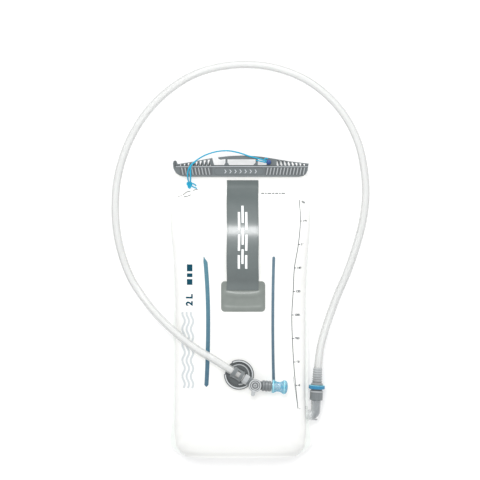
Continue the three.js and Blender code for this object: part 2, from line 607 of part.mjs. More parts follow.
place(part, "port_elbow", portElbow(), paleGrey);
place(part, "port_ring", portRing(), paleGrey);
const coupling = new THREE.Group();
coupling.position.set(COUPLING.x, COUPLING.y, SEAM_Z);
coupling.rotation.z = rad(COUPLING.tilt);
part.add(coupling);
place(coupling, "coupling_body", couplingBody(), greyPlastic);
place(coupling, "release_ring", releaseRing(), blueRing);
place(coupling, "poppet", poppet(), paleGrey);
place(coupling, "poppet_spring", poppetSpring(), steel);
place(coupling, "hose_plug", hosePlug(), greyPlastic);
place(coupling, "plug_seal", plugSeal(), blackRubber);
place(coupling, "strain_relief", strainRelief(), paleGrey);

place(part, "hose", swept(hoseLine, 80, HOSE.outer, 8, HOSE.bore, 6), hoseClear);

const clip = new THREE.Group();
clip.position.set(CLIP.x, CLIP.y, HOSE_Z);
clip.rotation.z = rad(CLIP.angle);
part.add(clip);
place(clip, "clip_cradle", clipCradle(), greyPlastic);
place(clip, "cradle_magnet", cradleMagnet(), steel);
place(clip, "clip_base", clipBase(), darkGrey);
place(clip, "base_magnet", baseMagnet(), steel);

const valve = new THREE.Group();
valve.position.set(VALVE_X, 0, 0);
clip.add(valve);
place(valve, "valve_body", valveBody(), greyPlastic);
place(valve, "shutoff_knob", shutoffKnob(), paleGrey);
place(valve, "knob_seal", knobSeal(), blackRubber);
const outlet = new THREE.Group();
outlet.rotation.z = rad(OUTLET_TURN);
valve.add(outlet);
place(outlet, "swivel_collar", swivelCollar(), greyPlastic);
place(outlet, "bite_valve", biteValve(), blueSilicone);

export default part;
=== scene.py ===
"""A two-litre hydration bladder, full and lying on its back, with its drinking hose looped over its top.

Shapes are worked out in millimetres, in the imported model's frame: +X across the reservoir towards the hose
port, +Y towards its mouth, +Z up out of its front. They become metres when a piece is made.
"""

import math

import bmesh
import bpy
from mathutils import Matrix, Vector


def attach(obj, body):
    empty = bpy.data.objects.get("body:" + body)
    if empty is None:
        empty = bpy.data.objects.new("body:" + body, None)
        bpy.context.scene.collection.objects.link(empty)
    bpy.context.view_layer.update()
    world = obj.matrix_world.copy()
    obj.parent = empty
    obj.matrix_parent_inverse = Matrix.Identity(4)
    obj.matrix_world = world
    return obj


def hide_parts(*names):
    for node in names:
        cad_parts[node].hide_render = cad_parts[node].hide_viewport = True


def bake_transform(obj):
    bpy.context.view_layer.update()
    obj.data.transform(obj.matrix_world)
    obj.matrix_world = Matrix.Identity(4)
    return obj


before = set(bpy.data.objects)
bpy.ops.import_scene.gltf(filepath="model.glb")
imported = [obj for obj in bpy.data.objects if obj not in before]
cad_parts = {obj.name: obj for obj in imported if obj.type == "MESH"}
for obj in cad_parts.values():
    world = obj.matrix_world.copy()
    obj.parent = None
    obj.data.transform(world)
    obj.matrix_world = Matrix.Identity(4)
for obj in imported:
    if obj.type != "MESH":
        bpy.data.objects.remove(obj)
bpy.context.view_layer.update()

MM = 0.001
SEAM_Z = 20.375  # height of the side seams
FILM = 0.6
LAYER = 0.32  # a film's middle from the seam's plane
NECK_Y = 150
FOLD_Y = 162  # centre of the roll-over inside the closure
FOLD_END_Y = 158.5
SEAM_SHARE = 0.9  # of the way across a film, the rest is seam
FRONT_POWER = 2.6  # superellipse of the front's cross-section
BACK_POWER = 3.5  # and of the back's, which is flatter
CLOSURE_Z = SEAM_Z + 1.5
CLOSURE_FRONT = CLOSURE_Z + 5.6
PORT_Y = -136.5
HOSE_RADIUS = 4.75
HOSE_BORE = 3.3
HOSE_SIDES = 28
HOSE_Z = 64.8  # hose centre over the front, on its clip
FLOOR_HOSE = 4.85  # hose centre where it lies on the floor
TETHER_RADIUS = 0.85


# -------------------------------------------------------------------------- camera
def add_camera():
    """Looks straight down at the reservoir from high above it."""
    lens = bpy.data.cameras.new("camera")
    lens.sensor_width = 36
    lens.lens = 146.4
    lens.clip_end = 20
    camera = bpy.data.objects.new("camera", lens)
    camera.location = (-0.0006, 0.0787, 2.425)
    bpy.context.scene.collection.objects.link(camera)
    bpy.context.scene.camera = camera


add_camera()


# -------------------------------------------------------------------------- finishes
class Signal:
    """A shader socket that takes part in Python expressions."""

    def __init__(self, finish, socket):
        self.finish = finish
        self.socket = socket

    def math(self, operation, first, second=0.0):
        return self.finish.node("ShaderNodeMath", {"operation": operation}, {0: first, 1: second})

    def __add__(self, other):
        return self.math("ADD", self, other)

    def __radd__(self, other):
        return self.math("ADD", other, self)

    def __sub__(self, other):
        return self.math("SUBTRACT", self, other)

    def __rsub__(self, other):
        return self.math("SUBTRACT", other, self)

    def __mul__(self, other):
        return self.math("MULTIPLY", self, other)

    def __rmul__(self, other):
        return self.math("MULTIPLY", other, self)

    def __pow__(self, other):
        return self.math("POWER", self, other)

    def sine(self):
        return self.math("SINE", self)

    def clamped(self):
        return self.math("MINIMUM", self.math("MAXIMUM", self, 0.0), 1.0)


class Finish:
    """One material, built from nodes."""

    def __init__(self, name):
        self.material = bpy.data.materials.new(name)
        self.material.use_nodes = True
        self.tree = self.material.node_tree
        self.tree.nodes.clear()
        self.place = self.node("ShaderNodeTexCoord", output="Object")

    def node(self, kind, settings=None, inputs=None, output=0):
        node = self.tree.nodes.new(kind)
        for key, value in (settings or {}).items():
            setattr(node, key, value)
        for key, value in (inputs or {}).items():
            if isinstance(value, Signal):
                self.tree.links.new(value.socket, node.inputs[key])
            else:
                node.inputs[key].default_value = value
        return None if output is None else Signal(self, node.outputs[output])

    def noise(self, scale, detail, stretch=None):
        where = self.place
        if stretch:
            where = self.node("ShaderNodeVectorMath", {"operation": "MULTIPLY"}, {0: where, 1: stretch})
        inputs = {"Vector": where, "Scale": scale, "Detail": detail, "Roughness": 0.55}
        return self.node("ShaderNodeTexNoise", None, inputs)

    def axis(self, letter):
        return self.node("ShaderNodeSeparateXYZ", None, {0: self.place}, output=letter)

    def mix(self, factor, first, second):
        return self.node("ShaderNodeMix", {"data_type": "RGBA"}, {0: factor, 6: first, 7: second}, output=2)

    def facing(self, blend):
        return self.node("ShaderNodeLayerWeight", None, {"Blend": blend}, output="Facing")

    def bump(self, height, strength, distance):
        inputs = {"Height": height, "Strength": strength, "Distance": distance}
        return self.node("ShaderNodeBump", None, inputs)

    def surface(self, colour, roughness, normal=None, **constants):
        inputs = {"Base Color": colour, "Roughness": roughness}
        if normal:
            inputs["Normal"] = normal
        for key, value in constants.items():
            inputs[key.replace("_", " ").title().replace("Ior", "IOR")] = value
        shader = self.node("ShaderNodeBsdfPrincipled", None, inputs)
        self.node("ShaderNodeOutputMaterial", None, {"Surface": shader}, output=None)
        return self.material


def tone(red, green, blue):
    """A colour from its 0-255 values."""
    parts = [c / 255 for c in (red, green, blue)]
    return (*[p / 12.92 if p <= 0.04045 else ((p + 0.055) / 1.055) ** 2.4 for p in parts], 1.0)


def paler(colour, lift):
    """A colour from its 0-255 values, made lighter."""
    return tone(*[min(255, c + lift) for c in colour])


def frosted_film():
    """Milky film with a pebbled face, a little clouded."""
    finish = Finish("frosted_film")
    cloud = finish.noise(9, 2)
    pebble = finish.noise(1500, 1)
    colour = finish.mix(cloud, tone(240, 240, 237), tone(246, 246, 244))
    relief = finish.noise(60, 3) * 0.6 + pebble * 0.25
    return finish.surface(
        colour,
        0.34 + 0.14 * cloud,
        finish.bump(relief, 0.16, 0.0006),
        alpha=0.93,
        subsurface_weight=0.12,
        subsurface_radius=(0.004, 0.004, 0.0036),
        coat_weight=0.25,
        coat_roughness=0.3,
        ior=1.48,
    )


def weld_band():
    """The film of the side seams, ribbed across by the welding bar."""
    finish = Finish("weld_band")
    ridges = (finish.axis("Y") * 5200).sine() * 0.5 + 0.5
    return finish.surface(
        finish.mix(ridges, tone(222, 227, 224), tone(240, 243, 240)),
        0.36 + 0.1 * ridges,
        finish.bump(ridges, 0.5, 0.0002),
        alpha=0.9,
        coat_weight=0.3,
    )


def baffle_weld(name, low, high):
    """Coloured weld, from one tone at its lower end to another at its upper end."""
    finish = Finish(name)
    height = finish.axis("Y") * 6.2 + 0.62
    mottle = finish.noise(220, 2)
    colour = finish.mix(height.clamped(), tone(*low), tone(*high))
    return finish.surface(
        finish.mix(mottle * 0.2, colour, tone(140, 172, 184)),
        0.32 + 0.15 * mottle,
        finish.bump((finish.axis("Y") * 4200).sine(), 0.35, 0.0002),
        coat_weight=0.3,
    )


def strap_rubber():
    """Glossy moulded rubber, scuffed dull where hands hold it by the closure."""
    finish = Finish("strap_rubber")
    grain = finish.noise(900, 2)
    cross = (finish.axis("Y") * 7600).sine() * (finish.axis("X") * 7600).sine()
    cloud = finish.noise(40, 3)
    scuffed = ((finish.axis("Y") - 0.112) * 60).clamped()
    colour = finish.mix(cloud, tone(84, 93, 93), tone(100, 108, 107))
    return finish.surface(
        colour,
        0.3 + 0.14 * grain + 0.25 * scuffed,
        finish.bump(cross * 0.4 + grain * 0.5, 0.2, 0.0002),
        coat_weight=1.0 - 0.95 * scuffed,
        coat_roughness=0.17,
        subsurface_weight=0.05,
        subsurface_radius=(0.002, 0.002, 0.002),
    )


def patch_rubber():
    finish = Finish("patch_rubber")
    grain = finish.noise(700, 2)
    cloud = finish.noise(55, 3)
    return finish.surface(
        finish.mix(cloud, tone(113, 120, 115), tone(136, 142, 137)),
        0.26 + 0.14 * grain,
        finish.bump(grain * 0.5 + cloud, 0.2, 0.0003),
        alpha=0.94,
        coat_weight=0.9,
        coat_roughness=0.2,
    )


def moulded(name, dark, light, roughness, coat=0.1):
    """Moulded plastic: a fine spark-eroded texture, faint flow marks, painted shade in its hollows and
    painted highlights along its edges.
    """
    finish = Finish(name)
    spark = finish.noise(2600, 1)
    flow = finish.noise(70, 4, stretch=(1, 0.35, 1))
    open_sky = finish.node("ShaderNodeAmbientOcclusion", {"samples": 8}, {"Distance": 0.0022}, output="AO")
    thickness = finish.node(
        "ShaderNodeAmbientOcclusion", {"samples": 8, "inside": True}, {"Distance": 0.0004}, output="AO"
    )
    colour = finish.mix(flow, tone(*dark), tone(*light))
    colour = finish.mix(spark * 0.12, colour, paler(light, 34))
    # Painted shade: the colour darkens to a dark copy of its grey where ambient occlusion finds hollows.
    recess_shade = tone(*[round(c * 0.42) for c in dark])
    colour = finish.mix(open_sky**1.6, recess_shade, colour)
    # Painted highlight: the colour pales along convex edges, found by ambient occlusion looking inside.
    edge_highlight = (1 - thickness) * 0.4
    return finish.surface(
        finish.mix(edge_highlight, colour, paler(light, 60)),
        roughness + 0.12 * spark + 0.08 * flow,
        finish.bump(spark, 0.22, 0.00012),
        coat_weight=coat,
        coat_roughness=0.3,
    )


def clear_moulding(name, colour, body, rim, roughness=0.16, blend=0.55):
    """Translucent plastic, which looks denser where it is seen edge on."""
    finish = Finish(name)
    haze = finish.noise(300, 2)
    alpha = body + (rim - body) * finish.facing(blend)
    return finish.surface(
        finish.mix(haze * 0.4, tone(*colour), paler(colour, 22)),
        roughness + 0.1 * haze,
        finish.bump(haze, 0.1, 0.0002),
        alpha=alpha,
        ior=1.46,
        coat_weight=0.4,
    )


def smoked_port():
    """Clear plastic: thin by the reservoir and smoky in the thick straight neck."""
    finish = Finish("port_clear")
    haze = finish.noise(300, 2)
    neck = ((finish.axis("X") - 0.0845) * 160).clamped()
    alpha = (0.1 + 0.56 * neck) + (0.2 + 0.2 * neck) * finish.facing(0.5)
    return finish.surface(
        finish.mix(neck, tone(222, 226, 226), finish.mix(haze, tone(138, 143, 145), tone(168, 172, 174))),
        0.12 + 0.1 * haze,
        finish.bump(haze, 0.1, 0.0002),
        alpha=alpha,
        ior=1.46,
        coat_weight=0.8,
        coat_roughness=0.1,
    )


def bite_silicone():
    """Soft blue silicone, denser where it is seen edge on."""
    finish = Finish("bite_silicone")
    haze = finish.noise(260, 2)
    depth = finish.facing(0.5)
    pooled = finish.noise(120, 2)
    colour = finish.mix(pooled, tone(18, 134, 176), tone(50, 170, 200))
    return finish.surface(
        finish.mix(haze * 0.3, colour, tone(170, 226, 238)),
        0.14 + 0.1 * haze,
        finish.bump(haze, 0.12, 0.0003),
        alpha=0.42 + 0.5 * depth,
        subsurface_weight=0.2,
        subsurface_radius=(0.001, 0.003, 0.004),
        coat_weight=0.6,
        coat_roughness=0.1,
    )


def braided_cord():
    finish = Finish("braided_cord")
    fuzz = finish.noise(3200, 2)
    strand = (finish.axis("X") * 9000).sine() * (finish.axis("Y") * 9000).sine()
    return finish.surface(
        finish.mix(fuzz, tone(0, 134, 178), tone(16, 184, 214)),
        0.62 + 0.2 * fuzz,
        finish.bump(strand * 0.5 + fuzz * 0.5, 0.5, 0.0002),
        sheen_weight=0.4,
        sheen_roughness=0.4,
    )


def ink(name, colour):
    finish = Finish(name)
    speck = finish.noise(2200, 2)
    return finish.surface(
        finish.mix(speck * 0.4, tone(*colour), paler(colour, 20)),
        0.7 + 0.2 * speck,
        finish.bump(speck, 0.1, 0.0001),
        specular_ior_level=0.1,
    )


def metal(name, colour):
    finish = Finish(name)
    scratch = finish.noise(900, 3, stretch=(1, 6, 1))
    relief = finish.bump(scratch, 0.15, 0.0001)
    return finish.surface(tone(*colour), 0.2 + 0.2 * scratch, relief, metallic=1.0)


def seal_rubber():
    finish = Finish("seal_rubber")
    dust = finish.noise(1200, 2)
    colour = finish.mix(dust * 0.3, tone(30, 31, 33), tone(70, 72, 74))
    return finish.surface(colour, 0.5 + 0.2 * dust, finish.bump(dust, 0.2, 0.0002))


FILM_FINISH = frosted_film()
WELD = weld_band()
BAFFLE_TEAL = baffle_weld("baffle_teal", (40, 84, 108), (68, 122, 138))
BAFFLE_SLATE = baffle_weld("baffle_slate", (62, 88, 106), (82, 108, 124))
STRAP_FINISH = strap_rubber()
PATCH_FINISH = patch_rubber()
CLOSURE_GREY = moulded("closure_grey", (86, 93, 95), (106, 113, 115), 0.36, 0.3)
# A paler copy of the closure's grey: painted highlight on the upper lip and the raised arrows.
CLOSURE_HIGHLIGHT = moulded("closure_highlight", (156, 162, 166), (178, 183, 186), 0.34, 0.3)
# A paler copy of the closure's grey for the finger grips: painted highlight on the ribs.
GRIP_HIGHLIGHT = moulded("grip_highlight", (134, 140, 142), (156, 160, 162), 0.34, 0.3)
# A darker copy of the closure's grey: painted shade under and between the finger grips.
GRIP_SHADE = moulded("grip_bed", (44, 49, 51), (62, 67, 69), 0.4, 0.2)
FITTING_GREY = moulded("fitting_grey", (98, 104, 106), (120, 125, 127), 0.28, 0.5)
FITTING_DARK = moulded("fitting_dark", (66, 71, 72), (92, 97, 98), 0.34, 0.4)
# Pale grey: the colour of the lever, the inlet nut and the poppet, and painted highlight on the clip's rim
# band and inner ring and on the knob's rings.
FITTING_PALE = moulded("fitting_pale", (158, 162, 164), (184, 187, 188), 0.24, 0.6)
SOFT_GREY = moulded("soft_grey", (140, 144, 145), (162, 165, 166), 0.34, 0.4)
KNOB_GREY = moulded("knob_grey", (120, 124, 126), (144, 148, 150), 0.28, 0.4)
RING_BLUE = moulded("ring_blue", (18, 104, 150), (40, 138, 178), 0.26, 0.5)
# A paler cyan copy of the ring's blue: painted highlight on the release ring's upper lip and on the
# mouthpiece's bands.
CYAN_HIGHLIGHT = moulded("ring_lip_highlight", (96, 186, 206), (130, 206, 220), 0.26, 0.5)
NAVY = moulded("navy", (26, 54, 112), (38, 76, 142), 0.3, 0.4)
# The hose's outer wall is greyer than its bore: where the outer wall shows densest, at the edges, it gives
# painted shade, and the paler bore showing through the middle gives painted light.
HOSE_OUTER_SHADE = clear_moulding("hose_outer_shade", (196, 197, 195), 0.24, 0.95, 0.16, 0.42)
HOSE_INNER = clear_moulding("hose_inner", (236, 237, 236), 0.62, 0.95, 0.3)
PORT_CLEAR = smoked_port()
# Painted shade along the film's creases.
FOLD_SHADE = ink("fold_shade", (112, 114, 110))
SILICONE = bite_silicone()
CORD_BLUE = braided_cord()
INK_GREY = ink("ink_grey", (196, 201, 203))
INK_TEAL = ink("ink_teal", (16, 66, 84))
INK_SLATE = ink("ink_slate", (46, 56, 62))
INK_WHITE = ink("ink_white", (238, 240, 240))
STEEL = metal("steel", (188, 190, 194))
SEAL = seal_rubber()


# -------------------------------------------------------------------------- mesh tools
def recalculated(vertices, faces):
    shape = bmesh.new()
    made = [shape.verts.new(Vector(v) * MM) for v in vertices]
    for face in faces:
        shape.faces.new([made[i] for i in face])
    bmesh.ops.recalc_face_normals(shape, faces=shape.faces)
    return shape


def piece(name, shape, finish, body, nodes=(), sharp=38, bevel=0.0, place=None):
    """One piece of the object from (vertices, faces) in mm, or from a bmesh in metres."""
    if place:
        shape = moved(shape, place)
    if isinstance(shape, tuple):
        shape = recalculated(*shape)
    mesh = bpy.data.meshes.new(name)
    shape.to_mesh(mesh)
    shape.free()
    mesh.materials.append(finish)
    mesh.polygons.foreach_set("use_smooth", [True] * len(mesh.polygons))
    mesh.set_sharp_from_angle(angle=math.radians(sharp))
    made = bpy.data.objects.new(name, mesh)
    bpy.context.scene.collection.objects.link(made)
    if bevel:
        edge = made.modifiers.new("edges", "BEVEL")
        edge.width = bevel * MM
        edge.segments = 2
        edge.limit_method = "ANGLE"
        edge.angle_limit = math.radians(35)
        edge.harden_normals = False
    if body:
        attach(made, body)
    if nodes:
        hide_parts(*nodes)
    return made


def merged(*shapes):
    """Several (vertices, faces) shapes as one."""
    vertices = []
    faces = []
    for more, sides in shapes:
        start = len(vertices)
        vertices += more
        faces += [tuple(i + start for i in face) for face in sides]
    return vertices, faces


def moved(shape, matrix):
    """A shape turned and moved to its place."""
    return [tuple(matrix @ Vector(v)) for v in shape[0]], shape[1]


def grid(rows, closed_across=False):
    """Faces over rows of points."""
    vertices = [tuple(p) for row in rows for p in row]
    wide = len(rows[0])
    faces = []
    for j in range(len(rows) - 1):
        for i in range(wide if closed_across else wide - 1):
            k = (i + 1) % wide
            faces.append((j * wide + i, j * wide + k, (j + 1) * wide + k, (j + 1) * wide + i))
    return vertices, faces


def slab(point, across, along, thick):
    """A sheet of even thickness about the surface point(u, v)."""
    step = 1e-3
    sides = []
    for side in (0.5, -0.5):
        rows = []
        for v in along:
            row = []
            for u in across:
                one = Vector(point(u + step, v)) - Vector(point(u - step, v))
                other = Vector(point(u, v + step)) - Vector(point(u, v - step))
                row.append(Vector(point(u, v)) + one.cross(other).normalized() * side * thick)
            rows.append(row)
        sides.append(rows)
    top, under = sides
    vertices, faces = merged(grid(top), grid(under))
    wide = len(across)
    rows = len(along)
    half = wide * rows
    rim = [(0, i) for i in range(wide)]
    rim += [(j, wide - 1) for j in range(1, rows)]
    rim += [(rows - 1, i) for i in range(wide - 2, -1, -1)]
    rim += [(j, 0) for j in range(rows - 2, 0, -1)]
    ring = [j * wide + i for j, i in rim]
    for one, other in zip(ring, ring[1:] + ring[:1]):
        faces.append((one, other, other + half, one + half))
    return vertices, faces


def spread(low, high, count):
    """Evenly spaced numbers from low to high, both of them included."""
    return [low + (high - low) * i / count for i in range(count + 1)]


def rounded(points, radius, closed=True, steps=4):
    """A profile with its corners rounded."""
    made = []
    count = len(points)
    for i, point in enumerate(points):
        if not closed and i in (0, count - 1):
            made.append(tuple(point))
            continue
        here = Vector(point)
        before = Vector(points[i - 1]) - here
        after = Vector(points[(i + 1) % count]) - here
        start = here + before.normalized() * min(radius, before.length * 0.45)
        end = here + after.normalized() * min(radius, after.length * 0.45)
        for k in range(steps + 1):
            t = k / steps
            made.append(tuple(start * (1 - t) ** 2 + here * 2 * t * (1 - t) + end * t**2))
    return made


def revolve(points, sides=64, radius=0.0, bored=True, ripple=None, sweep=360.0, turn=0.0):
    """A turned shape about +Z from (radius, height) points. A sweep under a full turn is capped."""
    profile = rounded(points, radius, closed=bored) if radius else points
    whole = sweep >= 360
    angles = [math.radians(turn + sweep * i / sides) for i in range(sides if whole else sides + 1)]
    rows = []
    for angle in angles:
        row = []
        for r, z in profile:
            swell = ripple(angle, r, z) if ripple else 0
            row.append(((r + swell) * math.cos(angle), (r + swell) * math.sin(angle), z))
        rows.append(row)
    vertices = [p for row in rows for p in row]
    wide = len(profile)
    faces = []
    for j in range(len(rows) if whole else len(rows) - 1):
        nxt = (j + 1) % len(rows)
        for i in range(wide if bored else wide - 1):
            k = (i + 1) % wide
            faces.append((j * wide + i, j * wide + k, nxt * wide + k, nxt * wide + i))
    if not whole:
        faces.append(tuple(range(wide)))
        faces.append(tuple((len(rows) - 1) * wide + i for i in range(wide)))
    return welded(vertices, faces)


def welded(vertices, faces):
    """The same shape with points that coincide, such as those on an axis, made one."""
    index = {}
    where = []
    kept = []
    for vertex in vertices:
        key = tuple(round(c, 4) for c in vertex)
        if key not in index:
            index[key] = len(kept)
            kept.append(vertex)
        where.append(index[key])
    clean = []
    for face in faces:
        points = []
        for i in face:
            if where[i] not in points:
                points.append(where[i])
        if len(points) > 2:
            clean.append(tuple(points))
    return kept, clean


def prism(outline, low, high, caps=None):
    """A flat outline raised from low to high; an outline with an inward corner gives its cap's faces."""
    count = len(outline)
    vertices = [(x, y, z) for z in (low, high) for x, y in outline]
    caps = caps or [tuple(range(count))]
    faces = caps + [tuple(i + count for i in cap) for cap in caps]
    faces += [(i, (i + 1) % count, (i + 1) % count + count, i + count) for i in range(count)]
    return vertices, faces


def block(x0, x1, y0, y1, z0, z1):
    corners = [(x, y, z) for x in (x0, x1) for y in (y0, y1) for z in (z0, z1)]
    return corners, [(0, 1, 3, 2), (4, 6, 7, 5), (0, 4, 5, 1), (2, 3, 7, 6), (0, 2, 6, 4), (1, 5, 7, 3)]


def smooth_line(points, per_span, alpha=0.5):
    """Points along the centripetal Catmull-Rom curve through the given ones."""
    pts = [Vector(p) for p in points]
    pts = [pts[0] * 2 - pts[1], *pts, pts[-1] * 2 - pts[-2]]
    line = []
    for a, b, c, d in zip(pts, pts[1:], pts[2:], pts[3:]):
        t0 = 0.0
        t1 = t0 + (b - a).length ** alpha
        t2 = t1 + (c - b).length ** alpha
        t3 = t2 + (d - c).length ** alpha
        for i in range(per_span):
            t = t1 + (t2 - t1) * i / per_span
            ab = a * ((t1 - t) / (t1 - t0)) + b * ((t - t0) / (t1 - t0))
            bc = b * ((t2 - t) / (t2 - t1)) + c * ((t - t1) / (t2 - t1))
            cd = c * ((t3 - t) / (t3 - t2)) + d * ((t - t2) / (t3 - t2))
            abc = ab * ((t2 - t) / (t2 - t0)) + bc * ((t - t0) / (t2 - t0))
            bcd = bc * ((t3 - t) / (t3 - t1)) + cd * ((t - t1) / (t3 - t1))
            line.append(abc * ((t2 - t) / (t2 - t1)) + bcd * ((t - t1) / (t2 - t1)))
    line.append(pts[-2])
    return line


def tube(line, radius, sides=24, bore=0.0, twist=None):
    """A round tube or solid cord along a line; twist(angle, distance) swells its surface."""
    rings = []
    side = Vector((0, 0, 1))
    distance = 0.0
    for i, point in enumerate(line):
        ahead = line[min(i + 1, len(line) - 1)] - line[max(i - 1, 0)]
        ahead.normalize()
        side = (side - ahead * side.dot(ahead)).normalized()
        other = ahead.cross(side)
        distance += (point - line[i - 1]).length if i else 0
        ring = []
        for k in range(sides):
            angle = 2 * math.pi * k / sides
            r = radius + (twist(angle, distance) if twist else 0)
            ring.append(point + (side * math.cos(angle) + other * math.sin(angle)) * r)
        rings.append((ring, side.copy(), other))
    outer = grid([ring for ring, _, _ in rings], closed_across=True)
    last = len(line) - 1
    if not bore:
        ends = [tuple(range(sides)), tuple(last * sides + k for k in range(sides))]
        return outer[0], outer[1] + ends
    inner_rows = []
    for (_, one, other), point in zip(rings, line):
        angles = [2 * math.pi * k / sides for k in range(sides)]
        inner_rows.append([point + (one * math.cos(a) + other * math.sin(a)) * bore for a in angles])
    vertices, faces = merged(outer, grid(inner_rows, closed_across=True))
    start = len(outer[0])
    for base in (0, last * sides):
        for k in range(sides):
            nxt = (k + 1) % sides
            faces.append((base + k, base + nxt, start + base + nxt, start + base + k))
    return vertices, faces


def profile(stations):
    """A smooth curve through (position, value) stations that never overshoots them."""

    def slope(i):
        return (stations[i + 1][1] - stations[i][1]) / (stations[i + 1][0] - stations[i][0])

    tangents = [0.0]
    for i in range(1, len(stations) - 1):
        before = slope(i - 1)
        after = slope(i)
        tangents.append(2 * before * after / (before + after) if before * after > 0 else 0.0)
    tangents.append(0.0)

    def value(y):
        if y <= stations[0][0]:
            return stations[0][1]
        if y >= stations[-1][0]:
            return stations[-1][1]
        i = next(k for k, s in enumerate(stations) if s[0] > y) - 1
        width = stations[i + 1][0] - stations[i][0]
        t = (y - stations[i][0]) / width
        rise = stations[i + 1][1] - stations[i][1]
        bend = tangents[i] * t * (1 - t) ** 2 - tangents[i + 1] * t * t * (1 - t)
        return stations[i][1] + rise * t * t * (3 - 2 * t) + width * bend

    return value


def ease(value, low, high):
    """Rises smoothly from 0 at low to 1 at high."""
    t = min(1.0, max(0.0, (value - low) / (high - low)))
    return t * t * (3 - 2 * t)


def hump(value, width):
    """A bell, 1 high, about 0."""
    return math.exp(-((value / width) ** 2))


# -------------------------------------------------------------------------- drinking hose
def turned_about_z(degrees):
    return Matrix.Rotation(math.radians(degrees), 4, "Z")


Z_TO_X = Matrix.Rotation(math.radians(90), 4, "Y")
Z_TO_Y = Matrix.Rotation(math.radians(-90), 4, "X")
COUPLING = Matrix.Translation((93.1, -118.5, SEAM_Z)) @ turned_about_z(-3.1) @ Z_TO_Y
CLIP = Matrix.Translation((-0.6, -85.4, HOSE_Z)) @ turned_about_z(-32)
VALVE = CLIP @ Matrix.Translation((21.6, 0, 0))
OUTLET_TURN = 28  # the valve's outlet against its inlet
LEVER_TURN = 197  # the lever lies nearly straight down, off the hose's heading
OUTLET = VALVE @ turned_about_z(OUTLET_TURN)


def coupling_at(distance):
    """A point on the coupling's own axis."""
    return tuple(COUPLING @ Vector((0, 0, distance)))


def clip_at(distance):
    """A point on the clip's own axis."""
    return tuple(CLIP @ Vector((distance, 0, 0)))


HOSE_ROUTE = [
    coupling_at(21.7),
    coupling_at(30),
    coupling_at(38),
    (96.3, -70, 20),
    (98.2, -56, 18.2),
    (101.8, -41, 14.8),
    (106.6, -26, 10.8),
    (113, -8, 7),
    (121, 12.5, 5.1),
    (132.3, 38.7, FLOOR_HOSE),
    (143.2, 70.3, FLOOR_HOSE),
    (151.5, 101.6, FLOOR_HOSE),
    (155.3, 133.8, FLOOR_HOSE),
    (153.2, 166.7, FLOOR_HOSE),
    (145.7, 199.6, FLOOR_HOSE),
    (130.5, 230.8, FLOOR_HOSE),
    (107.9, 257.7, FLOOR_HOSE),
    (79.3, 278.5, FLOOR_HOSE),
    (45.3, 291.6, FLOOR_HOSE),
    (11.2, 296.3, FLOOR_HOSE),
    (-23.6, 293.9, FLOOR_HOSE),
    (-57.3, 284.1, FLOOR_HOSE),
    (-86.2, 266.6, FLOOR_HOSE),
    (-111.4, 243, FLOOR_HOSE),
    (-130.5, 215.9, FLOOR_HOSE),
    (-144.1, 186.3, FLOOR_HOSE),
    (-152.5, 155.1, FLOOR_HOSE),
    (-155.3, 122.9, FLOOR_HOSE),
    (-153.5, 90.3, FLOOR_HOSE),
    (-146.1, 57.4, 5),
    (-135.1, 30.1, 6.2),
    (-121.6, 9.6, 11),
    (-107.2, -8.3, 20.4),
    (-93, -22.4, 32),
    (-78.5, -34.8, 43),
    (-63.5, -46.6, 52),
    (-49, -56.2, 58.8),
    clip_at(-40),
    clip_at(-28),
    clip_at(-14),
    clip_at(4.7),
]
TETHER_ROUTE = [
    (-64.3, 152.6, 26),
    (-64.7, 155.2, 28.9),
    (-64.9, 158.8, 30.4),
    (-64, 164.6, 30.7),
    (-61, 170.4, 30.4),
    (-54.4, 176.2, 29.2),
    (-44.4, 182.4, 27.4),
    (-30.6, 187.1, 25.9),
    (-15.6, 188.4, 25.2),
    (-2, 186, 25.2),
    (10, 182, 25.7),
    (24, 178.2, 26.4),
    (31.4, 175.6, 26.8),
]
hose_line = smooth_line(HOSE_ROUTE, 12)
hose_length = sum((b - a).length for a, b in zip(hose_line, hose_line[1:]))
tether_line = smooth_line(TETHER_ROUTE, 40)
tether_length = sum((b - a).length for a, b in zip(tether_line, tether_line[1:]))


def in_metres(line):
    return [tuple(p * MM) for p in line]


drinking_hose = piece(
    "drinking_hose",
    tube(hose_line, HOSE_RADIUS, HOSE_SIDES, HOSE_BORE),
    HOSE_OUTER_SHADE,
    "hose_line",
    ("hose",),
)
drinking_hose.data.materials.append(HOSE_INNER)


def line_inner_wall(made, count):
    """Gives the bore's faces the second finish: they follow the outer wall's in the mesh."""
    for i, face in enumerate(made.data.polygons):
        if count <= i < 2 * count:
            face.material_index = 1


line_inner_wall(drinking_hose, (len(hose_line) - 1) * HOSE_SIDES)


def strands(angle, distance):
    """How the braid's strands swell the cord."""
    return 0.13 * math.cos(2 * (angle - distance * 1.9)) + 0.05 * math.cos(5 * (angle + distance * 1.2))


tether_cord = piece(
    "tether_cord",
    tube(tether_line, TETHER_RADIUS, 14, 0, strands),
    CORD_BLUE,
    None,
    (),
    sharp=60,
)

# -------------------------------------------------------------------------- reservoir film
half_width = profile(
    [(-187, 68), (-180, 75), (-170, 79), (-150, 80.2), (-100, 79.5), (0, 79.5), (60, 82), (95, 84.8)]
    + [(112, 84.6), (128, 80.5), (140, 77.8), (150, 77.2)]
)
front_rise = profile(
    [(-187, 23), (-180, 26.5), (-165, 30), (-140, 31), (40, 31), (70, 29.4), (95, 23.5), (112, 14.5)]
    + [(128, 5), (138, 1), (150, 0)]
)
back_depth = profile(
    [(-187, 19.5), (60, 19.5), (80, 18.4), (95, 15), (112, 9), (128, 3), (138, 0.6), (150, 0)]
)
seam_width = profile([(-187, 2.5), (-171, 8.5), (-152, 5), (-130, 3.5), (150, 3.5)])


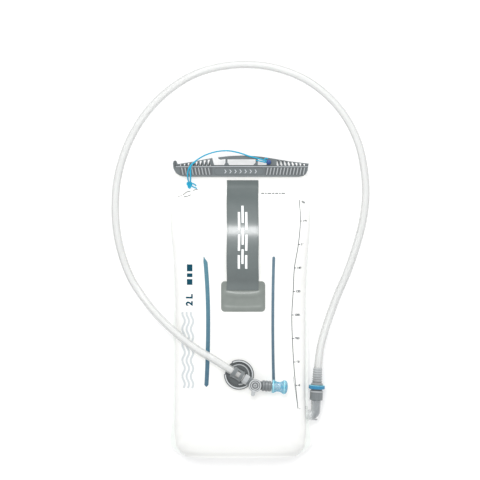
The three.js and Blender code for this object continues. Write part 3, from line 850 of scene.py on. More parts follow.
def baffle_line(side, y):
    """A baffle's weld runs slightly bowed down the front."""
    t = (y + 21) / 79
    return side * (39.4 + (2.2 if side < 0 else 1.2) * t * t) - (1.6 if side < 0 and t > 0 else 0) * t * t


def baffle_valley(x, y):
    """How far the two baffles draw the front in, widest beside the welds."""
    along = ease(y, -116, -84) * (1 - ease(y, 42, 74))
    deep = 0.0
    for side in (-1, 1):
        away = x - baffle_line(side, y)
        deep += 3.0 * hump(away, 8.5) + 0.5 * hump(away, 2.6)
    return deep * along


def puckers(x, y):
    """Small folds where the film is gathered: at the seams, the shoulders, the welds' ends and the neck."""
    edge = half_width(y) - abs(x)
    side = 1 if x > 0 else -1
    seam = 0.28 * math.sin(y * 0.31 + side) * math.sin(y * 0.083 + 2 * side) * hump(edge - 5, 7)
    shoulder = hump(y - 118, 20) * hump(edge - 14, 14)
    slant = (y - 118) * 0.8 + (abs(x) - 70) * 1.1
    waves = 0.7 * math.sin(slant * 0.42) + 0.4 * math.sin(slant * 0.9 + 1)
    fold = (1.0 if side < 0 else 0.55) * shoulder * waves
    gather = math.sin(x * 0.21 + 0.7 * math.sin(x * 0.063))
    neck = 0.45 * ease(y, 104, 132) * (1 - ease(y, 138, 149)) * gather
    ends = 0.0
    for baffle in (-1, 1):
        for end, way in ((58, 1), (-100, -1)):
            ahead = (y - end) * way
            away = x - baffle_line(baffle, end)
            ends -= 0.9 * hump(away / (1 + max(0.0, ahead) * 0.12), 3) * hump(ahead - 6, 12)
    corner = 0.35 * hump(y + 160, 16) * hump(edge - 12, 14) * math.sin((y + abs(x)) * 0.36)
    swell = 0.35 * math.sin(x * 0.052 + 0.6) * math.sin(y * 0.037) * ease(edge, 8, 30)
    return seam + fold + neck + ends + corner + swell


CREASES = [
    ((-77, 129.5), (-71, 132.5), 1.0),
    ((-71, 132.5), (-66, 134), 0.8),
    ((-68, 137.5), (-60, 140), 0.9),
    ((-60, 140), (-53, 139), 0.7),
    ((72, 131), (79, 128), 0.6),
    ((60, 139), (69, 136.5), 0.5),
]


def sharp_creases(x, y):
    """Short hard creases by the shoulders, where the film has been folded."""
    deep = 0.0
    for (x0, y0), (x1, y1), depth in CREASES:
        t = ((x - x0) * (x1 - x0) + (y - y0) * (y1 - y0)) / ((x1 - x0) ** 2 + (y1 - y0) ** 2)
        t = min(1.0, max(0.0, t))
        away = math.hypot(x - x0 - t * (x1 - x0), y - y0 - t * (y1 - y0))
        deep += depth * (hump(away, 1.3) - 0.5 * hump(away - 2.2, 1.4))
    return deep


def bulge(share, power):
    """Height of a superellipse at a share of its half width."""
    return max(0.0, 1 - abs(share) ** power) ** (1 / power)


def front_z(x, y):
    """Middle of the front film at (x, y)."""
    rise = front_rise(y) * bulge(x / half_width(y), FRONT_POWER)
    weld = 0.22 * hump(y - 141.5, 0.9) if abs(x) < 76 else 0.0
    folds = puckers(x, y) + (sharp_creases(x, y) if y > 120 else 0)
    return SEAM_Z + LAYER + max(0.0, rise - baffle_valley(x, y) + folds * ease(rise, 0, 1.5)) + weld


def front_top(x, y):
    """Upper face of the front film at (x, y), which everything on it rests on."""
    return front_z(x, y) + FILM / 2


def across(u, y, power):
    """Across the film from u = -1 to 1: seam, cross-section, seam."""
    side = 1 if u > 0 else -1
    share = min(1.0, abs(u) / SEAM_SHARE)
    x = half_width(y) * math.sin(share * math.pi / 2) ** (2 / power)
    seam = seam_width(y) * max(0.0, abs(u) - SEAM_SHARE) / (1 - SEAM_SHARE)
    return side * (x + seam), seam


def rolled(distance, offset):
    """Past the neck the film runs straight, rolls forwards and comes part of the way back."""
    straight = FOLD_Y - NECK_Y
    bend = LAYER + 0.9 - offset
    centre = SEAM_Z + LAYER + 0.9
    if distance <= straight:
        return NECK_Y + distance, SEAM_Z + offset
    turn = (distance - straight) / bend
    if turn < math.pi:
        return FOLD_Y + bend * math.sin(turn), centre - bend * math.cos(turn)
    return FOLD_Y - (turn - math.pi) * bend, centre + bend


def front_point(u, v):
    """The front film: u runs across it and v along it."""
    y = min(v, NECK_Y)
    x, seam = across(u, y, FRONT_POWER)
    if v > NECK_Y:
        over = rolled(v - NECK_Y, LAYER)
        return (x, *over)
    z = front_z(x, y) if not seam else SEAM_Z + LAYER
    return x, y, z + 0.12 * math.sin(y * 0.5) * min(1, seam / 2)


def back_point(u, v):
    """The back film, flatter than the front and puckered at its seams."""
    y = min(v, NECK_Y)
    x, seam = across(u, y, BACK_POWER)
    if v > NECK_Y:
        over = rolled(v - NECK_Y, -LAYER)
        return (x, *over)
    depth = back_depth(y) * min(1.0, 1.06 * bulge(x / half_width(y), BACK_POWER)) if not seam else 0
    edge = half_width(y) - abs(x)
    inside = ease(depth, 0, 5) * (1 - ease(depth, 15, 19))
    depth -= 0.5 * math.sin(y * 0.24 + x * 0.1) * hump(edge - 4, 6) * inside
    return x, y, SEAM_Z - LAYER - depth + 0.12 * math.sin(y * 0.5) * min(1, seam / 2)


def film_rows(offset):
    """Where the film's rows of points lie along it, closest round the roll."""
    bend = LAYER + 0.9 - offset
    around = [FOLD_Y + math.pi * t / 8 * bend for t in range(9)]
    end = FOLD_Y + math.pi * bend + FOLD_Y - FOLD_END_Y
    return [*spread(-187, -150, 22), *spread(-148, 90, 118), *spread(92, NECK_Y, 44), 154, 158, *around, end]


FILM_COLUMNS = [-1, -0.985, -0.95, -0.92, *spread(-SEAM_SHARE, SEAM_SHARE, 120), 0.92, 0.95, 0.985, 1]

front_film = piece(
    "front_film",
    slab(front_point, FILM_COLUMNS, film_rows(LAYER), FILM),
    FILM_FINISH,
    "reservoir",
    ("front_panel",),
    sharp=60,
)
back_film = piece(
    "back_film",
    slab(back_point, FILM_COLUMNS[::2], film_rows(-LAYER), FILM),
    FILM_FINISH,
    "reservoir",
    ("back_panel",),
    sharp=60,
)


def bottom_panel():
    """The bottom, creased across the middle where it folds flat when the reservoir is empty."""
    y = -184.5
    inset = 0.7
    sides = 120
    wide = half_width(y) - inset
    rings = []
    for share in (1.0, 0.97, 0.9, 0.75, 0.55, 0.35, 0.18, 0.06):
        ring = []
        for k in range(sides):
            angle = 2 * math.pi * k / sides
            in_front = math.sin(angle) > 0
            power = FRONT_POWER if in_front else BACK_POWER
            x = math.copysign(abs(math.cos(angle)) ** (2 / power), math.cos(angle)) * wide * share
            lift = abs(math.sin(angle)) ** (2 / power)
            z = (front_rise(y) - inset) * lift if in_front else -(back_depth(y) - inset) * lift
            crease = 0.7 * hump(z * share, 2.0)
            belly = 2.2 * (1 - share**2) + 0.3 * math.sin(x * 0.15) * (1 - share)
            ring.append((x, y - belly + crease * (1 - share**6), SEAM_Z + z * share))
        rings.append(ring)
    vertices, faces = grid(rings, closed_across=True)
    faces.append(tuple(range(len(vertices) - sides, len(vertices))))
    return vertices, faces


bottom = piece("bottom_panel", bottom_panel(), FILM_FINISH, "reservoir", ("bottom_gusset",))
bottom.modifiers.new("film", "SOLIDIFY").thickness = FILM * MM


def seam_strip(side):
    """The ribbed weld along one side of the reservoir."""

    def point(u, v):
        seam = seam_width(v)
        x = side * (half_width(v) + seam * (0.5 + 0.38 * u))
        return x, v, SEAM_Z + LAYER + FILM / 2 + 0.1 + 0.12 * math.sin(v * 0.5)

    return slab(point, spread(-1, 1, 6), spread(-186, 149, 220), 0.3)


for side, name in ((-1, "left_seam_weld"), (1, "right_seam_weld")):
    piece(name, seam_strip(side), WELD, "reservoir", ())


def baffle_strip(side, half):
    """A baffle's weld on the front, pointed at its upper end."""

    def point(u, v):
        point_from, narrowing, lean = (51, 0.85, 1.4) if side < 0 else (57, 0.5, 0)
        taper = ease(v, -100.5, -98) * (1 - narrowing * ease(v, point_from, 58.6))
        x = baffle_line(side, v) + u * half * taper - lean * ease(v, 50, 58.6)
        return x, v, front_top(x, v) + 0.12

    return slab(point, spread(-1, 1, 6), spread(-100.4, 58.5, 120), 0.3)


def baffle_web(side):
    """The inner sheet between the front and the back."""

    def point(u, v):
        x = baffle_line(side, v)
        low = 1.6
        high = front_z(x, v) - 0.8
        return x + 0.8 * math.sin(u * 3) * math.sin(v * 0.1), v, low + (high - low) * (u + 1) / 2

    return slab(point, spread(-1, 1, 12), spread(-99, 57, 60), 0.5)


for side, half, finish, name, node in (
    (-1, 2.5, BAFFLE_TEAL, "left_baffle_weld", "left_baffle"),
    (1, 1.75, BAFFLE_SLATE, "right_baffle_weld", "right_baffle"),
):
    piece(name, baffle_strip(side, half), finish, "reservoir", (node,))
    piece(name.replace("weld", "web"), baffle_web(side), FILM_FINISH, "reservoir", ())


# -------------------------------------------------------------------------- markings
def onto_front(shape, lift=0.1):
    """Lays a flat bmesh in mm on the front film, cut finely enough to follow it."""
    for _ in range(5):
        long = [e for e in shape.edges if e.calc_length() > 1.6]
        if not long:
            break
        bmesh.ops.subdivide_edges(shape, edges=long, cuts=1)
        bmesh.ops.triangulate(shape, faces=[f for f in shape.faces if len(f.verts) > 4])
    for vert in shape.verts:
        vert.co.z = front_top(vert.co.x, vert.co.y) + lift
    bmesh.ops.transform(shape, matrix=Matrix.Scale(MM, 4), verts=shape.verts)
    bmesh.ops.triangulate(shape, faces=shape.faces)
    return shape


def lettering(words, size, x, y, turn=0.0):
    """Plain bold figures in the built-in typeface, as a flat bmesh in mm."""
    curve = bpy.data.curves.new("figures", "FONT")
    curve.body = words
    curve.size = size
    curve.offset = 0.045 * size
    curve.align_y = "CENTER"
    holder = bpy.data.objects.new("figures", curve)
    bpy.context.scene.collection.objects.link(holder)
    bpy.context.view_layer.update()
    flat = bpy.data.meshes.new_from_object(holder)
    shape = bmesh.new()
    shape.from_mesh(flat)
    bpy.data.objects.remove(holder)
    bpy.data.curves.remove(curve)
    bpy.data.meshes.remove(flat)
    place = Matrix.Translation((x, y, 0)) @ turned_about_z(turn)
    bmesh.ops.transform(shape, matrix=place, verts=shape.verts)
    return shape


def flat_polygons(polygons):
    shape = bmesh.new()
    for polygon in polygons:
        shape.faces.new([shape.verts.new((x, y, 0)) for x, y in polygon])
    bmesh.ops.triangulate(shape, faces=shape.faces)
    return shape


def ribbon(points, width):
    """Quads along a flat line."""
    polygons = []
    line = smooth_line([(x, y, 0) for x, y in points], 12)
    for a, b in zip(line, line[1:]):
        out = (b - a).cross(Vector((0, 0, 1))).normalized() * width / 2
        polygons.append([(p.x, p.y) for p in (a - out, b - out, b + out, a + out)])
    return polygons


def printed(name, shape, finish):
    """Prints a flat shape on the front film."""
    piece(name, onto_front(shape), finish, "reservoir", (), sharp=80)


# The line of the capacity scale, from its top.
SCALE_LINE = [
    (72.4, 128),
    (73.4, 102.6),
    (70.6, 72.6),
    (65.8, 44.3),
    (64.3, 15.4),
    (62.6, -13.3),
    (63.3, -41.5),
    (64.9, -70.7),
    (67.2, -98),
    (70.2, -127.2),
]


def scale_x(y):
    """Where the scale's line is at y."""
    for (x1, y1), (x0, y0) in zip(SCALE_LINE, SCALE_LINE[1:]):
        if y0 <= y <= y1:
            return x0 + (x1 - x0) * (y - y0) / (y1 - y0)
    return SCALE_LINE[0][0]


TICKS = [(1800 - 200 * k, 102 - 28.7 * k) for k in range(9)]  # millilitres, height


def rectangle(x0, x1, y0, y1):
    return [(x0, y0), (x1, y0), (x1, y1), (x0, y1)]


def mark_scale():
    lines = ribbon(SCALE_LINE, 0.8)
    lines += ribbon([(64, -86.7), (66.4, -101), (70, -126)], 0.3)
    lines += [rectangle(scale_x(y) - 0.6, scale_x(y) + 2.4, y - 0.4, y + 0.4) for _, y in TICKS]
    printed("scale_lines", flat_polygons(lines), INK_SLATE)
    for k, (capacity, y) in enumerate(TICKS):
        printed(f"scale_figures_{k}", lettering(str(capacity), 3.6, scale_x(y) + 3.3, y), INK_SLATE)
    printed("scale_unit", lettering("ml", 4.2, 75.4, 126.5, -28), INK_SLATE)


def wave_band(x, low, high, pitch, swing, width):
    points = []
    y = low
    while y <= high:
        points.append((x + swing * math.sin(2 * math.pi * (y - low) / pitch), y))
        y += pitch / 6
    return ribbon(points, width)


def mark_front():
    printed("capacity_figures", lettering("2 L", 11, -62, -1.5, 90), INK_TEAL)
    bars = [rectangle(-65.4, -58.6, low, high) for low, high in ((24, 31), (33.5, 38), (40.5, 49))]
    printed("capacity_bars", flat_polygons(bars), INK_TEAL)
    waves = [q for x in (-69.5, -64.3, -59.1) for q in wave_band(x, -102, -6, 19.2, 1.6, 2.6)]
    printed("wave_bands", flat_polygons(waves), INK_GREY)
    dash_lengths = ((25.5, 3.6), (30.1, 2.2), (33.3, 4.6), (38.9, 2.8), (42.7, 3.8), (47.5, 2), (50.5, 4.4))
    dashes = [rectangle(x, x + long, 135.6, 136.8) for x, long in dash_lengths]
    printed("neck_dashes", flat_polygons(dashes), INK_SLATE)


mark_scale()
mark_front()

CREASE_SHADE_LINES = [
    [(-77, 132), (-73.6, 132.9), (-70.9, 134), (-68.6, 136), (-66.4, 137.6), (-61.6, 138.9)],
    [(-69.8, 131.8), (-65.6, 132.5), (-61.1, 134.4)],
    [(-58.4, 139.6), (-55.4, 140.6), (-52.5, 140.8)],
]


def fold_lines():
    """Dark lines along the hard-pressed folds in the film by its shoulders: painted shade in the creases."""
    made = []
    for line in CREASE_SHADE_LINES:
        path = smooth_line([(x, y, front_top(x, y) + 0.02) for x, y in line], 8)
        made.append(tube(path, 0.45, 8))
    return merged(*made)


piece("film_crease_shade", fold_lines(), FOLD_SHADE, "reservoir", ())


# -------------------------------------------------------------------------- filling handle
# The strap's middle line from its top, as (y, z).
STRAP_ROUTE = [
    (152.5, 22.4),
    (146, 22.7),
    (136, 27),
    (120, 38.5),
    (100, 51),
    (80, 58.4),
    (62, 61.6),
    (46, 61.4),
    (34, 58),
    (26, 55),
    (17.4, 54.8),
]
strap_line = smooth_line([(0, y, z) for y, z in STRAP_ROUTE], 12)


def on_strap(t):
    """A point of the strap's middle line, and where it faces, at t from 0 (top) to 1."""
    place = min(len(strap_line) - 1.001, max(0.0, t * (len(strap_line) - 1)))
    i = int(place)
    here = strap_line[i].lerp(strap_line[i + 1], place - i)
    ahead = strap_line[min(i + 2, len(strap_line) - 1)] - strap_line[max(i - 1, 0)]
    return here, Vector((0, -ahead.z, ahead.y)).normalized() * -1


def strap_point(u, v, lift=0.0):
    """A point of the strap: u runs from -1 to 1 across it and v from 0 to 1 down it."""
    here, facing = on_strap(v)
    cup = 0.5 * (1 - u * u) * math.sin(math.pi * min(1, max(0, v)))
    x = 2.6 + 19.4 * u + 0.2 * math.sin(v * 17)
    return (x, *(here + facing * (lift + cup))[1:])


piece(
    "handle_strap_band",
    slab(strap_point, spread(-1, 1, 26), spread(0.003, 0.997, 110), 1.2),
    STRAP_FINISH,
    "reservoir",
    ("handle_strap",),
    bevel=0.35,
)


def strap_mark(polygons, lift):
    """Flat (u, v) polygons laid on the strap."""
    shape = bmesh.new()
    for polygon in polygons:
        shape.faces.new([shape.verts.new((u, v, 0)) for u, v in polygon])
    for vert in shape.verts:
        vert.co = Vector(strap_point(vert.co.x, vert.co.y, lift)) * MM
    bmesh.ops.recalc_face_normals(shape, faces=shape.faces)
    return shape


def strap_bars():
    """Three rows of three bars, the middle row set higher, each cut so that it follows the arch."""
    pitch, long, cuts = 0.135, 0.105, 10
    polygons = []
    for row, (u0, u1) in enumerate(((-0.3, -0.16), (-0.07, 0.07), (0.16, 0.3))):
        start = 0.3 + 0.04 * abs(row - 1)
        for k in range(3):
            low = start + k * pitch
            for step in range(cuts):
                polygons.append(rectangle(u0, u1, low + long * step / cuts, low + long * (step + 1) / cuts))
    return polygons


piece("handle_bars", strap_mark(strap_bars(), 0.68), INK_WHITE, "reservoir", (), sharp=80)


def strap_edge(side):
    """A raised line moulded along one edge of the strap."""

    def point(u, v):
        return strap_point(side * 0.9 + u * 0.022, v, 0.66)

    return slab(point, (-1, 0, 1), spread(0.02, 0.975, 110), 0.3)


for side, name in ((-1, "handle_rib_left"), (1, "handle_rib_right")):
    piece(name, strap_edge(side), STRAP_FINISH, "reservoir", (), bevel=0.1)


TAB = {"x": 3.2, "half": 26.8, "low": -8.5, "high": 28.6, "corner": 4.5}


def tab_half(v):
    """Half the patch's width at v, with its round corners."""
    corner = TAB["corner"]
    from_end = max(0.0, min(corner, v - TAB["low"], TAB["high"] - v))
    return TAB["half"] - corner + math.sqrt(max(0.0, corner**2 - (corner - from_end) ** 2))


def tab_rows():
    near = [0.02, 0.2, 0.6, 1.2, 2.0, 3.0, 4.5]
    low = TAB["low"]
    high = TAB["high"]
    return [low + d for d in near] + spread(low + 6, high - 6, 60) + [high - d for d in reversed(near)]


def tab_point(u, v):
    """The patch: pillowed, with a fold where the strap ends and another at its lower edge."""
    x = TAB["x"] + u * tab_half(v)
    pillow = 0.3 * (1 - abs(u) ** 4) * (1 - abs((v - 10) / 19) ** 4)
    inside = 1 - ease(abs(u), 0.72, 0.96)
    upper = 1.4 * hump(v - 11.6 - 3.4 * u * u, 3.6) * inside
    lower = 0.9 * hump(v + 4.6 - 1.6 * u * u, 2.3) * (1 - ease(abs(u), 0.8, 0.98))
    return x, v, front_top(x, v) + 0.55 + pillow + upper + lower


def tab_rim_point(turn):
    """A point of the raised line just inside the patch's edge; turn runs from 0 to 1 round it."""
    angle = 2 * math.pi * turn
    inset = 1.9
    squareness = 0.22
    c = math.cos(angle)
    s = math.sin(angle)
    x = TAB["x"] + (TAB["half"] - inset) * math.copysign(abs(c) ** squareness, c)
    half_long = (TAB["high"] - TAB["low"]) / 2 - inset
    y = (TAB["high"] + TAB["low"]) / 2 + half_long * math.copysign(abs(s) ** squareness, s)
    return Vector((x, y, front_top(x, y) + 1.02))


piece(
    "handle_patch",
    slab(tab_point, spread(-1, 1, 40), tab_rows(), 0.9),
    PATCH_FINISH,
    "reservoir",
    ("handle_tab",),
    bevel=0.3,
)
rim_loop = [tab_rim_point(k / 160) for k in range(160)]
piece("handle_patch_rim", tube(rim_loop + [rim_loop[0]], 0.42, 8), PATCH_FINISH, "reservoir", ())


# -------------------------------------------------------------------------- closure
def closure_bar():
    """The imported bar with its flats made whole, ready for rounded edges."""
    shape = bmesh.new()
    shape.from_mesh(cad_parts["slider"].data)
    bmesh.ops.remove_doubles(shape, verts=shape.verts, dist=0.02 * MM)
    bmesh.ops.dissolve_limit(
        shape,
        angle_limit=math.radians(2),
        verts=shape.verts,
        edges=shape.edges,
        use_dissolve_boundaries=False,
    )
    return shape


piece("closure_bar", closure_bar(), CLOSURE_GREY, "closure", ("slider",), sharp=30, bevel=0.22)


def on_closure(name, shape, finish, bevel):
    piece(name, shape, finish, "closure", (), bevel=bevel)


# The upper lip is in the paler grey, as painted highlight along the closure's top edge.
upper_lip = block(-79.5, 83, 168.1, 169.2, CLOSURE_FRONT - 1.2, CLOSURE_FRONT + 0.5)
lower_lip = block(-72, 74, 156.9, 158.0, CLOSURE_FRONT - 1.2, CLOSURE_FRONT + 0.3)
on_closure("closure_lip", upper_lip, CLOSURE_HIGHLIGHT, 0.3)
on_closure("closure_lower_lip", lower_lip, CLOSURE_GREY, 0.3)


def slanted_bar(foot, top, half, low, high, z0, z1):
    """A bar that leans from foot to top, both places along X, between two heights."""
    corners = [(foot - half, low), (foot + half, low), (top + half, high), (top - half, high)]
    return prism(corners, z0, z1)


def grip_ribs(face, out):
    """The slanted finger grips either side of the middle, painted paler as highlight; out is +1 on the front
    and -1 on the back.
    """
    low, high = 158.8, 167.6
    pitch = 4.1
    z0, z1 = sorted((face - 0.3 * out, face + 1.05 * out))
    ribs = []
    for start, count, lean in ((-70.5, 9, -0.2), (32, 12, 0.2)):
        for k in range(count):
            x = start + k * pitch
            ribs.append(slanted_bar(x, x + lean * 8.8, 0.75, low, high, z0, z1))
    return merged(*ribs)


# Dark plates under the finger grips: painted shade between the ribs.
def grip_beds(face, out):
    z0, z1 = sorted((face - 0.3 * out, face + 0.12 * out))
    return merged(block(-74.6, -34.4, 158.6, 167.8, z0, z1), block(29.6, 79.4, 158.6, 167.8, z0, z1))


for out, side in ((1, "front"), (-1, "back")):
    face = CLOSURE_Z + 5.6 * out
    on_closure(f"closure_grips_{side}", grip_ribs(face, out), GRIP_HIGHLIGHT, 0.25)
    on_closure(f"closure_grip_beds_{side}", grip_beds(face, out), GRIP_SHADE, 0.1)


def ladder_braces():
    """Behind the open ladders, slanted the other way and set back; their darker grey is painted shade in the
    ladders' slots.
    """
    foot = 169.4
    pitch = 4.75
    braces = []
    for start, count, lean in ((-72.5, 8, 0.34), (44, 9, -0.34)):
        for k in range(count):
            x = start + k * pitch
            high = 172.0 + (x + 77) * 0.176 if x < 0 else 172.6 + (84 - x) * 0.141
            if high < 171.6:
                continue
            top = x + lean * (high - foot)
            braces.append(slanted_bar(x, top, 1.2, foot, high - 0.6, CLOSURE_Z - 1.3, CLOSURE_Z + 0.2))
    return merged(*braces)


on_closure("closure_ladder_braces", ladder_braces(), FITTING_DARK, 0.15)


def plaque():
    """A raised plate in the middle of the closure, pointed at both ends."""
    outline = [(-30, 158.9), (26, 158.9), (28.2, 162.9), (26, 166.9), (-30, 166.9), (-32.2, 162.9)]
    return prism(rounded(outline, 2), CLOSURE_FRONT - 0.3, CLOSURE_FRONT + 0.45)


def chevrons():
    """A row of raised arrows that show which way the closure goes on, painted paler as highlight."""
    shapes = []
    low = CLOSURE_FRONT + 0.3
    for k in range(7):
        x = -20 + k * 6.2
        outline = [(x, 160.6), (x + 1.3, 160.6), (x + 3, 162.9)]
        outline += [(x + 1.3, 165.2), (x, 165.2), (x + 1.7, 162.9)]
        shapes.append(prism(outline, low, low + 0.45, [(0, 1, 2, 5), (5, 2, 3, 4)]))
    return merged(*shapes)


on_closure("closure_plaque", plaque(), CLOSURE_GREY, 0.2)
on_closure("closure_chevrons", chevrons(), CLOSURE_HIGHLIGHT, 0.1)

# -------------------------------------------------------------------------- tether
def follow_closure(cord):
    """Applies the cord's placement to its mesh; one end lies by the knot and the other at the closure."""
    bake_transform(cord)


def cord_piece(name, shape, body, nodes=()):
    return piece(name, shape, CORD_BLUE, body, nodes, sharp=60)


def thin_cord(line, radius):
    return tube(line, radius, 12, 0, strands)


follow_closure(tether_cord)
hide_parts("tether")


def tether_knot():
    """An overhand knot with two short tails and the strand that comes down to it."""
    centre = Vector((-62.8, 146.6, 24.4))
    loop = []
    for k in range(121):
        t = 2 * math.pi * k / 120
        x = (math.sin(t) + 2 * math.sin(2 * t)) * 0.95
        y = (math.cos(t) - 2 * math.cos(2 * t)) * 1.3
        z = -math.sin(3 * t) * 0.95
        loop.append(centre + Vector((x, y, z)))
    tails = (
        (0.75, (0, 0, 0.4), (3, -1.6, 0.6), (6.4, -3.4, 0), (9.2, -4.4, -1)),
        (0.75, (0, 0, -0.3), (2.6, 1.4, 0.2), (5.8, 0.9, 0.4), (8.4, -1.3, -0.4)),
        (0.8, (0.2, 1, 0.4), (-0.9, 3.8, 1.2), (-1.6, 6.4, 1.9)),
    )
    ends = [thin_cord(smooth_line([centre + Vector(p) for p in route], 14), wide) for wide, *route in tails]
    return merged(thin_cord(loop, 1.0), *ends)


def second_strand():
    """The cord comes back over the closure beside itself and ends in the knot."""
    route = [(-61.9, 148.4, 25.4), (-61.5, 152.6, 28.2), (-61.2, 158, 30.4), (-61.4, 163.6, 30.7)]
    route += [(-61.2, 168, 31), (-59.6, 171.2, 31.4), (-57.4, 173.3, 31.2), (-55.2, 175, 30.6)]
    return thin_cord(smooth_line(route, 16), 0.9)


knot = cord_piece("tether_overhand_knot", tether_knot(), "reservoir", ("tether_knot",))
strand = cord_piece("tether_second_strand", second_strand(), None)
follow_closure(strand)


def doubled_end():
    """The cord's end comes back beside it from the bead."""
    route = [(32.4, 173.8, 26.6), (28.4, 174.6, 26.2), (24, 175.7, 25.6), (19.6, 176.6, 25)]
    return thin_cord(smooth_line(route, 14), 0.8)


doubled = cord_piece("tether_doubled_end", doubled_end(), None)
follow_closure(doubled)


def stop_bead():
    upper = [(3.1, 0.7), (2.5, 1.9), (1.7, 2.75), (0.9, 2.9)]
    lower = [(radius, -height) for radius, height in reversed(upper)]
    return revolve(lower + upper, 40, 0.3)


STOP = Matrix.Translation((34.6, 174.4, CLOSURE_Z + 4.9)) @ turned_about_z(-18) @ Z_TO_X
bead = piece("tether_bead", stop_bead(), NAVY, "closure", ("tether_stop",), place=STOP)
crown_loop = [
    Vector((31.6 + 1.9 * math.cos(a), 177.4 + 1.7 * math.sin(a), 27.4)) for a in spread(0.4, 5.9, 24)
]
bead_tail = cord_piece("tether_bead_tail", thin_cord(crown_loop, 0.75), "closure")


# -------------------------------------------------------------------------- port and coupling
def grip(count, depth, low, high):
    """Shallow flutes round a turned piece between two heights."""

    def ripple(angle, radius, height):
        inside = ease(height, low, low + 0.5) * (1 - ease(height, high - 0.5, high))
        return -depth * inside * (0.5 + 0.5 * math.cos(count * angle)) if radius > 6 else 0.0

    return ripple


def fine(points, pitch=0.4):
    """A profile with extra points along it, so that flutes can follow."""
    made = []
    for a, b in zip(points, points[1:] + points[:1]):
        a = Vector(a)
        b = Vector(b)
        count = max(1, round((b - a).length / pitch))
        made += [tuple(a.lerp(b, i / count)) for i in range(count)]
    return made


def port_elbow():
    """The bent outlet: a flange and a neck at the seam, the bend, and a fin under its heel."""
    axis = (COUPLING.to_3x3() @ Vector((0, 0, 1))).normalized()
    end = COUPLING @ Vector((0, 0, -0.35))
    corner = end - axis * ((end.y - PORT_Y) / axis.y)
    bend = 6.6
    start = Vector((78.4, PORT_Y, SEAM_Z))
    into = Vector((corner.x - bend, PORT_Y, SEAM_Z))
    out = corner + axis * bend
    line = [start.lerp(into, t / 5) for t in range(5)]
    line += [into * (1 - t) ** 2 + corner * 2 * t * (1 - t) + out * t**2 for t in spread(0, 1, 16)]
    line += [out.lerp(end, t / 4) for t in range(1, 5)]
    at_seam = Matrix.Translation((0, PORT_Y, SEAM_Z)) @ Z_TO_X
    flange = revolve([(5.6, 81.3), (10.9, 81.3), (10.9, 82.3), (9.6, 82.9), (5.6, 82.9)], 56, 0.4)
    neck = revolve([(5.7, 82.8), (7.6, 82.8), (6.4, 85.4), (5.7, 85.4)], 48, 0.5)
    heel = block(83, 94.6, -143.2, -141.4, SEAM_Z - 0.9, SEAM_Z + 0.9)
    return merged(tube(line, 5.9, 40, 4.2), moved(flange, at_seam), moved(neck, at_seam), heel)


def socket():
    outline = [(4.8, 0), (7.4, 0), (8, 0.7), (8, 11.4), (7.5, 12), (7, 12), (7, 18.3), (4.8, 18.3)]
    return revolve(fine(rounded(outline, 0.4)), 96, ripple=grip(16, 0.35, 2.2, 9.6))


def release_ring():
    outline = [(7.35, 13.6), (9.2, 13.6), (10, 14.4), (10, 17.6), (9.2, 18.5), (7.35, 18.5)]
    return revolve(fine(rounded(outline, 0.5), 0.3), 144, ripple=grip(30, 0.4, 14.1, 18.1))


socket_band = revolve([(7.7, 9.7), (8.35, 9.7), (8.35, 11.5), (7.7, 11.5)], 64, 0.3)
# The release ring's upper lip in paler cyan: painted highlight.
ring_lip_highlight = revolve([(8.6, 17.9), (9.75, 17.9), (9.75, 18.6), (8.6, 18.6)], 96, 0.2)
plug_collar = revolve([(4.4, 18.9), (7.4, 18.9), (7.4, 20.4), (6.4, 21.3), (4.4, 21.3)], 64, 0.35)
piece("outlet_elbow", port_elbow(), PORT_CLEAR, "reservoir", ("port_elbow",), sharp=34)
for name, shape, finish, body, nodes, slot in (
    ("coupling_socket", socket(), FITTING_GREY, "reservoir", ("coupling_body",), "fitting_grey"),
    ("coupling_socket_band", socket_band, SOFT_GREY, "reservoir", (), "fitting_grey"),
    ("coupling_release_ring", release_ring(), RING_BLUE, "release_ring", ("release_ring",), "ring_blue"),
    ("release_ring_lip", ring_lip_highlight, CYAN_HIGHLIGHT, "release_ring", (), "ring_blue"),
    ("plug_collar", plug_collar, FITTING_GREY, "hose_line", (), "fitting_grey"),
):
    piece(name, shape, finish, body, nodes, place=COUPLING)


def ribbed_sleeve():
    """The strain relief: a soft sleeve of rings that narrows along the hose."""
    outer = [(5.15, 21.7), (6.3, 21.7)]
    for k in range(6):
        y = 22.5 + k * 2.8
        radius = 6.3 - 0.13 * k
        outer += [(5.3, y), (radius - 0.3, y + 0.35), (radius, y + 0.7), (radius, y + 1.4), (5.3, y + 1.9)]
    outer += [(5.4, 39.6), (5.15, 39.6)]
    return revolve(outer, 64, 0.2)


relief = piece(
    "strain_relief_sleeve",
    ribbed_sleeve(),
    SOFT_GREY,
    "hose_line",
    ("strain_relief",),
    place=COUPLING,
)

# -------------------------------------------------------------------------- hose clip
CRADLE_TO_BASE = CLIP @ Matrix.Translation((-1.5, 0, 0))


def clip_dish():
    """The base: a round floor with a raised rim that is open towards the hose, and a ring of small ribs."""
    floor_profile = [(0, -9.6), (16.6, -9.6), (16.9, -9.2), (16.9, -8), (16.6, -7.8), (0, -7.8)]
    floor = revolve(floor_profile, 96, 0.2, bored=False)
    rim_profile = [(14.3, -8.2), (14.8, -7), (15.5, -6.35), (17.3, -6.35)]
    rim_profile += [(18.2, -7.1), (18.2, -8.4), (16.8, -9.6)]
    rim = revolve(rounded(rim_profile, 0.4), 96, sweep=300, turn=-150)
    ribs = []
    for k in range(40):
        angle = k * 9.0
        if 40 < angle % 360 < 320:
            ribs.append(moved(block(13.0, 14.5, -0.35, 0.35, -8.2, -7.2), turned_about_z(angle)))
    return merged(floor, rim, *ribs)


def clip_rails():
    rails = []
    for side in (-1, 1):
        inner = sorted((side * 10, side * 11.6))
        hook = sorted((side * 6.5, side * 11.6))
        rails.append(block(-12, 12, *inner, -12.1, -9.4))
        rails.append(block(-12, 12, *hook, -12.1, -11.2))
    return merged(*rails)


